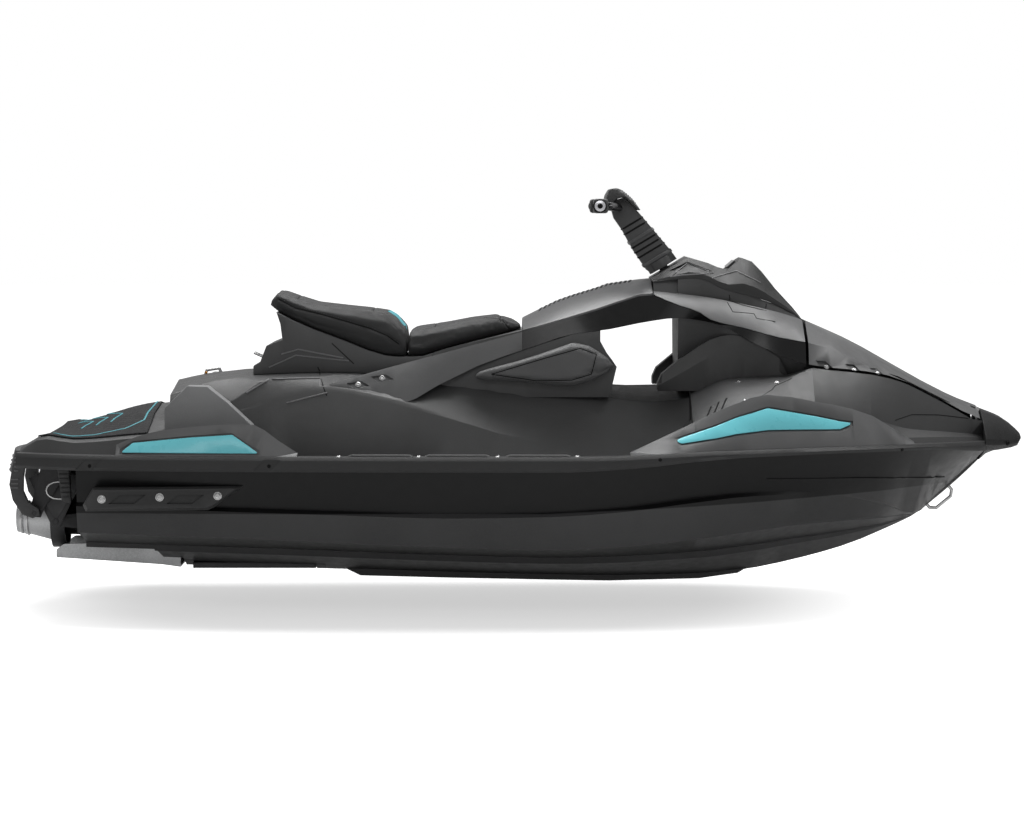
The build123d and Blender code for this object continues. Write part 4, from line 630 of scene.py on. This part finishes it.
def bands(name, tree, start, end, places, reach, width, height, look, body, slot):
    """Raised bands round a long piece, at fractions of the way along its axis."""
    bm = bmesh.new()
    axis = (end - start).normalized()
    for t in places:
        rows = ring_rows(tree, start.lerp(end, t), axis, reach)
        add_strip(bm, rows, width, height, closed=True)
    return piece(name, bm, look, body, slot)


def islands(name):
    """The separate solids of a node, each as its vertex places."""
    mesh = nodes[name].data
    bm = bmesh.new()
    bm.from_mesh(mesh)
    bmesh.ops.remove_doubles(bm, verts=bm.verts, dist=1e-5)
    left, groups = set(bm.verts), []
    for first in bm.verts:
        if first not in left:
            continue
        left.remove(first)
        grow, seen = [first], []
        while grow:
            v = grow.pop()
            seen.append(v.co.copy())
            for e in v.link_edges:
                w = e.other_vert(v)
                if w in left:
                    left.remove(w)
                    grow.append(w)
        groups.append(seen)
    bm.free()
    return groups


def long_axis(points):
    """Ends of a long piece along its own main axis."""
    a = np.array(points)
    mid = a.mean(0)
    axis = np.linalg.svd(a - mid, full_matrices=False)[2][0]
    along_axis = (a - mid) @ axis
    return Vector(mid + axis * along_axis.min()), Vector(mid + axis * along_axis.max())


# ---------------------------------------------------------------- cushions and pads
RELAX_ROUNDS = 3
CAP = 0.004              # furthest that a point may swell
PRESSURE = 4.0
FRAMES = 20
HELD = 0.004             # height above the lowest point that stays where it is
PIPING = (0.0032, 0.0009)    # width and height of the cord along a seam
STITCH_OFFSET = 0.0048   # from the seam to the threads on each side


def remeshed(name, node, voxel, shrink):
    """A rounded copy of a soft CAD solid, a little inside it."""
    mesh = nodes[node].data.copy()
    o = bpy.data.objects.new(name, mesh)
    scene.collection.objects.link(o)
    weld = o.modifiers.new("weld", "WELD")
    weld.merge_threshold = WELD
    mesh_again = o.modifiers.new("remesh", "REMESH")
    mesh_again.mode = "VOXEL"
    mesh_again.voxel_size = voxel
    relax = o.modifiers.new("relax", "SMOOTH")
    relax.factor = 0.5
    relax.iterations = RELAX_ROUNDS
    bake(o)
    shrunk = [v.co - v.normal * shrink for v in o.data.vertices]
    for v, co in zip(o.data.vertices, shrunk):
        v.co = co
    return o


def bake(o):
    """Applies an object's modifiers to its mesh."""
    bpy.context.view_layer.update()
    graph = bpy.context.evaluated_depsgraph_get()
    mesh = bpy.data.meshes.new_from_object(o.evaluated_get(graph))
    o.modifiers.clear()
    o.data = mesh


def swell(o):
    """Blows a cushion up against its cover with cloth pressure, no further than CAP."""
    start = [v.co.copy() for v in o.data.vertices]
    low = min(p.z for p in start)
    held = o.vertex_groups.new(name="held")
    for v in o.data.vertices:
        if v.normal.z < -0.6 or v.co.z < low + HELD:
            held.add([v.index], 1.0, "REPLACE")
    cloth = o.modifiers.new("cloth", "CLOTH")
    s = cloth.settings
    s.vertex_group_mass = "held"
    s.use_pressure = True
    s.uniform_pressure_force = PRESSURE
    s.effector_weights.gravity = 0
    s.mass = 0.15
    s.quality = 5
    s.tension_stiffness = 12
    s.compression_stiffness = 12
    s.bending_stiffness = 0.8
    cloth.collision_settings.use_collision = False
    cloth.point_cache.frame_start = 1
    cloth.point_cache.frame_end = FRAMES
    for frame_number in range(1, FRAMES + 1):
        scene.frame_set(frame_number)
    bake(o)
    scene.frame_set(1)
    for v, p in zip(o.data.vertices, start):
        move = v.co - p
        if move.length > CAP:
            v.co = p + move.normalized() * CAP


def press_seams(o, paths, depth, width):
    """Sinks a rounded channel along each seam's points."""
    mesh = o.data
    co = np.empty(len(mesh.vertices) * 3)
    mesh.vertices.foreach_get("co", co)
    co = co.reshape(-1, 3)
    normals = np.array([v.normal for v in mesh.vertices])
    near = np.full(len(co), 1e9)
    for rows in paths:
        pts = np.array([p for p, n in rows])
        for a, b in zip(pts, pts[1:]):
            run = b - a
            t = np.clip(((co - a) @ run) / (run @ run), 0, 1)
            near = np.minimum(near, np.linalg.norm(co - a - t[:, None] * run, axis=1))
    co -= normals * (depth * np.exp(-(near / width) ** 2))[:, None]
    mesh.vertices.foreach_set("co", co.ravel())
    mesh.update()


def stitch(bm, rows, offset, length=0.0045, gap=0.0032, radius=0.0007):
    """Thread stitches beside a seam."""
    travelled, nxt = 0.0, gap
    for (a, na), (b, nb) in zip(rows, rows[1:]):
        run = b - a
        span = run.length
        if span < 1e-6:
            continue
        run.normalize()
        while nxt < travelled + span:
            t = (nxt - travelled) / span
            n = na.lerp(nb, t).normalized()
            across = run.cross(n).normalized()
            middle = a.lerp(b, t) + across * offset + n * 0.0002
            ends = []
            for s in (-0.5, -0.3, 0.3, 0.5):
                rise = radius if abs(s) < 0.4 else -0.3 * radius
                centre = middle + run * (s * length) + n * rise
                ends.append([bm.verts.new(centre + across * (radius * math.cos(q))
                                          + n * (radius * math.sin(q)))
                             for q in (0.0, math.tau / 4, math.tau / 2, 3 * math.tau / 4)])
            for u, w in zip(ends, ends[1:]):
                for k in range(4):
                    j = (k + 1) % 4
                    bm.faces.new((u[k], u[j], w[j], w[k]))
            bm.faces.new(ends[0])
            bm.faces.new(ends[-1])
            nxt += length + gap
        travelled += span


def cushion(name, node, voxel, seams, look="seat_vinyl", body=CRAFT, depth=0.0028,
            width=0.0045, shrink=0.0020):
    """A padded cover in place of a soft CAD solid; seams(tree) gives rows of points."""
    o = remeshed(name, node, voxel, shrink)
    swell(o)
    divide = o.modifiers.new("divide", "SUBSURF")
    divide.levels = divide.render_levels = 1
    bake(o)
    paths = seams(tree_of(o))
    press_seams(o, paths, depth, width)
    o.data.materials.clear()
    o.data.materials.append(made[look])
    for p in o.data.polygons:
        p.use_smooth = True
    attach(o, body)
    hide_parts(node)
    thread, piping = bmesh.new(), bmesh.new()
    for rows in seams(tree_of(o)):
        add_strip(piping, rows, *PIPING)
        for side in (-1, 1):
            stitch(thread, rows, side * STITCH_OFFSET)
    piece(name + "_piping", piping, "groove_black", body, slots[node])
    piece(name + "_stitches", thread, "thread_grey", body, slots[node])
    return o


def both_sides(tree, lines):
    """Rows for (x, z) lines laid on both outer sides."""
    return [along(from_side(tree, side), line) for side in (STARBOARD, PORT) for line in lines]


def rear_seat_seams(tree):
    side_seam = [(-0.712, 0.648), (-0.660, 0.622), (-0.585, 0.604), (-0.500, 0.580),
                 (-0.432, 0.560), (-0.380, 0.538), (-0.345, 0.512)]
    rows = both_sides(tree, [side_seam])
    for x in (-0.655, -0.425):
        rows.append(along(from_top(tree), [(x, -0.125), (x, 0.125)]))
    return rows


def front_seat_seams(tree):
    rows = both_sides(tree, [[(-0.030, 0.585), (-0.012, 0.560), (0.008, 0.540)]])
    for x in (-0.235, -0.035):
        rows.append(along(from_top(tree), [(x, -0.12), (x, 0.12)]))
    for y in (0.105, -0.105):
        rows.append(along(from_top(tree), [(-0.285, y), (-0.015, y * 0.8)]))
    return rows


def knee_pad_seams(tree):
    low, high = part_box("knee_pads")
    rim = [(low.x + 0.055, low.z + 0.040), (low.x + 0.215, low.z + 0.088),
           (high.x - 0.105, high.z - 0.022), (high.x - 0.055, high.z - 0.040),
           (high.x - 0.070, low.z + 0.040), (high.x - 0.130, low.z + 0.022),
           (low.x + 0.190, low.z + 0.020), (low.x + 0.055, low.z + 0.040)]
    return both_sides(tree, [rim])


def bar_pad_seams(tree):
    low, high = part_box("bar_pad")
    middle = (low.x + high.x) / 2
    return [along(from_top(tree), [(low.x + 0.015, y), (middle, y), (high.x - 0.015, y)])
            for y in (-0.055, 0.055)]


def build_soft_goods():
    seat = cushion("rear_seat_cover", "seat_rear", 0.0065, rear_seat_seams)
    cushion("front_seat_cover", "seat_front", 0.0065, front_seat_seams)
    cushion("knee_pad_covers", "knee_pads", 0.0055, knee_pad_seams, look="knee_vinyl",
            depth=0.0014, width=0.0035)
    cushion("bar_pad_cover", "bar_pad", 0.005, bar_pad_seams, look="pad_vinyl",
            body=HELM, depth=0.0016, width=0.003, shrink=0.0010)
    accent(seat)


def accent(seat):
    """Coloured inlay across the step down from the rear seat."""
    put = from_top(tree_of(seat))
    bm = bmesh.new()
    rows, columns = 10, 25
    grid = []
    for i in range(rows):
        t = i / (rows - 1)
        half = 0.088 - 0.020 * abs(2 * t - 1)
        line = []
        for k in range(columns):
            s = 2 * k / (columns - 1) - 1
            p, n = put(-0.376 + 0.050 * t - 0.006 * abs(s), s * half)
            line.append((bm.verts.new(p + n * 0.0012), bm.verts.new(p - n * 0.002)))
        grid.append(line)
    for i in range(rows - 1):
        for k in range(columns - 1):
            for layer in (0, 1):
                bm.faces.new((grid[i][k][layer], grid[i + 1][k][layer],
                              grid[i + 1][k + 1][layer], grid[i][k + 1][layer]))
    rim = [grid[0][k] for k in range(columns)] + [grid[i][-1] for i in range(1, rows)]
    rim += [grid[-1][k] for k in range(columns - 2, -1, -1)]
    rim += [grid[i][0] for i in range(rows - 2, 0, -1)]
    for a, b in zip(rim, rim[1:] + rim[:1]):
        bm.faces.new((a[0], b[0], b[1], a[1]))
    piece("seat_accent", bm, "teal_line", CRAFT, "teal_gloss")


# ---------------------------------------------------------------- small fittings and lines
def build_screws():
    rail = tree_of("gunwale_rails")
    deck = tree_of("deck", "kick_pods", "front_fairings", "rear_fairings", "heel_chocks")
    spar = tree_of("spar_panels_rear")
    lid = tree_of("hood")
    shoes = tree_of("sponsons")
    nose = tree_of("nose_cap", "gunwale_rails")
    for word, side in SIDES:
        top, flank = from_top(rail, side), from_side(rail, side)
        heads("rail_screws_" + word, [(top, x, 0.537) for x in (-0.509, -0.274, -0.042, 0.192)],
              0.0062, "stainless", CRAFT, "stainless")
        heads("recess_screws_" + word, [(flank, -1.247, 0.166), (flank, -0.713, 0.170),
                                        (flank, 0.434, 0.190), (flank, 1.167, 0.205)],
              0.0042, "groove_black", CRAFT, "moulded_black")
        put = from_side(shoes, side)
        heads("sponson_bolts_" + word, [(put, x, z) for x, z in ((-1.209, 0.070), (-1.038, 0.076),
                                                                 (-0.867, 0.080))],
              0.0095, "stainless", CRAFT, "stainless")
        put = from_side(spar, side)
        heads("spar_screws_" + word, [(put, -0.465, 0.394), (put, -0.393, 0.413)], 0.0075,
              "stainless", CRAFT, "stainless")
        put = from_top(deck, side)
        heads("deck_screws_" + word, [(put, 0.497, 0.262), (put, 0.683, 0.262),
                                      (put, 0.796, 0.300), (put, 0.690, 0.430),
                                      (put, -1.035, 0.452), (put, -1.105, 0.462)],
              0.0050, "stainless", CRAFT, "stainless")
        put = from_side(lid, side)
        heads("hood_screws_" + word, [(put, 0.951, 0.447), (put, 1.036, 0.438),
                                      (put, 1.110, 0.427)],
              0.0055, "stainless", HATCH, "stainless")
        put = from_side(nose, side)
        heads("nose_screws_" + word, [(put, 1.525, 0.205)], 0.0065, "groove_black", CRAFT,
              "moulded_black")


def build_seams():
    """Panel joints and slots, as dark lines on the deck, fairings, cowl and shrouds."""
    deck = tree_of("deck", "front_fairings", "kick_pods")
    skin = tree_of("side_shrouds", "console")
    rear = tree_of("rear_fairings", "deck")
    hull = tree_of("hull")
    nose = tree_of("nose_cap", "deck")
    for word, side in SIDES:
        top, flank = from_top(deck, side), from_side(skin, side)
        strips("deck_joint_" + word, [(top, [(0.700, 0.440), (0.755, 0.376), (0.789, 0.316),
                                             (0.843, 0.284)])],
               0.0024, 0.0006, "groove_black", CRAFT, "moulded_black")
        strips("deck_slots_" + word,
               [(top, [(x, 0.425), (x + 0.030, 0.352)]) for x in (0.566, 0.589, 0.612)],
               0.0060, 0.0008, "groove_black", CRAFT, "moulded_black")
        put = from_top(rear, side)
        strips("stern_slots_" + word,
               [(put, [(x, 0.478), (x + 0.018, 0.452)]) for x in (-1.020, -1.003, -0.986, -0.969)],
               0.0065, 0.0008, "groove_black", CRAFT, "moulded_black")
        strips("shroud_joint_" + word,
               [(flank, [(0.655, 0.640), (0.670, 0.612), (0.735, 0.606), (0.742, 0.592),
                         (0.800, 0.582)])],
               0.0024, 0.0006, "groove_black", CRAFT, "moulded_black")
        put = from_side(hull, side)
        strips("hull_bead_" + word, [(put, [(0.756, 0.124), (1.045, 0.117), (1.330, 0.100)])],
               0.0050, 0.0022, "hull_black", CRAFT, "hull_black")
        put = from_side(nose, side)
        strips("bow_joint_" + word, [(put, [(1.160, 0.285), (1.215, 0.300), (1.300, 0.296),
                                            (1.400, 0.282)])],
               0.0024, 0.0006, "groove_black", CRAFT, "moulded_black")


TREAD_PITCH = 0.0145     # spacing of the ribs on the spar's tread


def build_mats():
    """Raised border and chevrons on the platform mat, ribs on the spar's tread."""
    put = from_top(tree_of("platform_mat"))
    border = [(-1.380, 0.300), (-1.330, 0.345), (-1.250, 0.360), (-1.160, 0.335),
              (-1.110, 0.270), (-1.100, 0.000)]
    lines = []
    for side in (1, -1):
        lines.append((put, [(x, y * side) for x, y in border]))
        for x in (-1.345, -1.300, -1.255):
            lines.append((put, [(x, 0.0), (x + 0.060, 0.110 * side), (x + 0.038, 0.225 * side)]))
    strips("mat_lines", lines, 0.0055, 0.0016, "teal_line", CRAFT, "teal_gloss")
    tread = tree_of("spar_cover")
    ribs = []
    x, forward_end = 0.085, 0.375
    while x < forward_end:
        ribs.append((from_top(tread), [(x, -0.060), (x + 0.006, 0.0), (x, 0.060)]))
        x += TREAD_PITCH
    strips("spar_tread_ribs", ribs, 0.0075, 0.0014, "mat_foam", CRAFT, "mat_foam")


def loft(bm, sections):
    """A closed skin through sections with equal point counts."""
    rings = [[bm.verts.new(p) for p in section] for section in sections]
    count = len(rings[0])
    for a, b in zip(rings, rings[1:]):
        for k in range(count):
            j = (k + 1) % count
            bm.faces.new((a[k], a[j], b[j], b[k]))
    bm.faces.new(rings[0])
    bm.faces.new(rings[-1])


# x, distance outboard, lower edge and upper edge of each section
HOOD_SILL = [(0.885, 0.236, 0.400, 0.464), (0.930, 0.233, 0.400, 0.458),
             (0.970, 0.226, 0.400, 0.453), (1.020, 0.219, 0.400, 0.448),
             (1.100, 0.191, 0.370, 0.438), (1.180, 0.156, 0.350, 0.413),
             (1.260, 0.122, 0.320, 0.373), (1.340, 0.092, 0.280, 0.333),
             (1.380, 0.056, 0.260, 0.317), (1.415, 0.056, 0.250, 0.290)]
COWL_SIDE = [(0.432, 0.150, 0.655, 0.704), (0.470, 0.148, 0.650, 0.716),
             (0.524, 0.146, 0.645, 0.722)]


def build_sills():
    """Lips inside the hood's rim and closing plates under the cowl's shoulders."""
    for word, side in SIDES:
        bm = bmesh.new()
        loft(bm, [[Vector((x, side * y, low)), Vector((x, side * (y - 0.006), low)),
                   Vector((x, side * (y - 0.008), high)), Vector((x, side * (y - 0.002), high))]
                  for x, y, low, high in HOOD_SILL])
        piece("hood_sill_" + word, bm, "groove_black", CRAFT, "moulded_black")
        bm = bmesh.new()
        loft(bm, [[Vector((x, side * y, low)), Vector((x, side * (y - 0.020), low)),
                   Vector((x, side * (y - 0.036), high)), Vector((x, side * (y - 0.016), high))]
                  for x, y, low, high in COWL_SIDE])
        piece("cowl_shoulder_" + word, bm, "panel_satin", CRAFT, "panel_satin")


def build_creases():
    """Raised light grey beads along the pedestal, saddle and cowl creases, a painted highlight
    where the creases catch the light; and the shroud's cover joint.
    """
    rump = tree_of("seat_pedestal", "saddle", "deck")
    cowl = tree_of("cowl", "console")
    cover = tree_of("side_shrouds", "cowl", "console")
    for word, side in SIDES:
        put = from_side(rump, side)
        # the light grey beads along these creases are a painted highlight
        strips("pedestal_lines_" + word,
               [(put, [(-0.741, 0.441), (-0.659, 0.478), (-0.497, 0.461)]),
                (put, [(-0.703, 0.481), (-0.651, 0.496), (-0.515, 0.470)])],
               0.0050, 0.0030, "rib_and_highlight_grey", CRAFT, "moulded_black")
        strips("saddle_lines_" + word,
               [(put, [(-0.800, 0.370), (-0.732, 0.411), (-0.580, 0.414)]),
                (put, [(-0.677, 0.341), (-0.555, 0.372)])],
               0.0050, 0.0024, "rib_and_highlight_grey", CRAFT, "moulded_black")
        strips("saddle_joint_" + word,
               [(put, [(-0.592, 0.442), (-0.577, 0.411), (-0.557, 0.363)])],
               0.0032, 0.0006, "groove_black", CRAFT, "moulded_black")
        strips("pedestal_joint_" + word,
               [(put, [(-0.549, 0.515), (-0.482, 0.452)])],
               0.0032, 0.0006, "groove_black", CRAFT, "moulded_black")
        put = from_side(cowl, side)
        # light grey beads on the cowl: painted highlight along its creases
        strips("cowl_inset_" + word,
               [(put, [(0.482, 0.716), (0.537, 0.758), (0.613, 0.728), (0.520, 0.722)])],
               0.0040, 0.0022, "rib_and_highlight_grey", CRAFT, "moulded_black", closed=True)
        strips("cowl_ridge_" + word,
               [(put, [(0.608, 0.713), (0.686, 0.734), (0.760, 0.698)])],
               0.0040, 0.0022, "rib_and_highlight_grey", CRAFT, "moulded_black")
        put = from_side(cover, side)
        strips("cover_joint_" + word,
               [(put, [(0.662, 0.662), (0.664, 0.644), (0.700, 0.632), (0.774, 0.614),
                       (0.776, 0.634)])],
               0.0028, 0.0006, "groove_black", CRAFT, "moulded_black")


GRIP_RIBS = [0.10 + 0.80 * i / 15 for i in range(16)]    # shares of the grip's length


def build_helm():
    """Ribs on the grips, bands round the riser, plugs in the bar ends; lamps by the hook."""
    for k, points in enumerate(islands("grips")):
        start, end = long_axis(points)
        bands(f"grip_ribs_{k}", tree_of("grips"), start, end, GRIP_RIBS, 0.05, 0.0040, 0.0011,
              "grip_rubber", HELM, "grip_rubber")
    riser = tree_of("steering_riser")
    foot, top = Vector((0.492, 0, 0.680)), Vector((0.338, 0, 0.936))
    bands("riser_clamps", riser, foot, top, [0.34, 0.62], 0.2, 0.012, 0.0034, "panel_satin",
          HELM, "moulded_black")
    bands("riser_collar", riser, foot, top, [0.16], 0.2, 0.030, 0.0060, "panel_satin",
          HELM, "moulded_black")
    bands("riser_straps", riser, foot, top, [0.44, 0.50, 0.56, 0.72, 0.78], 0.2, 0.0055, 0.0016,
          "groove_black", HELM, "moulded_black")
    ends = tree_of("bar_ends")
    low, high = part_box("bar_ends")
    x, z = (low.x + high.x) / 2, (low.z + high.z) / 2
    heads("bar_end_plugs", [(from_side(ends, side), x, z) for side in (STARBOARD, PORT)],
          0.0062, "groove_black", HELM, "moulded_black")
    hook = from_side(tree_of("ski_eye", "deck"), STARBOARD)
    heads("hook_lamps", [(hook, x, 0.418) for x in (-0.948, -0.905)], 0.0035, "amber_lens",
          CRAFT, "moulded_black")


RIB_PITCH = 0.013        # spacing of the grip ribs on the step's arms


def build_stern():
    """Finned grip on the folded step, bright bands on the steering nozzle."""
    step = tree_of("boarding_step")
    low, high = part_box("boarding_step")
    ribs = []
    for side in (STARBOARD, PORT):
        put = from_side(step, side)
        z = low.z + 0.055
        while z < high.z - 0.020:
            if len(along(put, [(low.x + 0.012, z), (low.x + 0.050, z)])) > 2:
                ribs.append((put, [(low.x + 0.014, z), (low.x + 0.048, z)]))
            z += RIB_PITCH
    strips("step_grip_ribs", ribs, 0.0055, 0.0036, "rib_and_highlight_grey", FOLDING, "rail_rubber")
    nozzle = tree_of("steering_nozzle")
    low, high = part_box("steering_nozzle")
    axis_z = (low.z + high.z) / 2
    start, end = Vector((low.x, 0, axis_z)), Vector((high.x, 0, axis_z))
    bands("nozzle_bands", nozzle, start, end, [0.10, 0.24], 0.2, 0.006, 0.0014, "stainless",
          NOZZLE, "stainless")


build_camera()
build_world()
build_floor()
area("softbox", (0.1, 0.5, 3.2), (0, 0, 0.2), (5.0, 1.6), 175)
area("fill", (-1.0, -6.0, 3.4), (0, 0, 0.2), (5, 1.6), 50)
dress_nodes()
build_soft_goods()
build_screws()
build_seams()
build_mats()
build_sills()
build_creases()
build_helm()
build_stern()
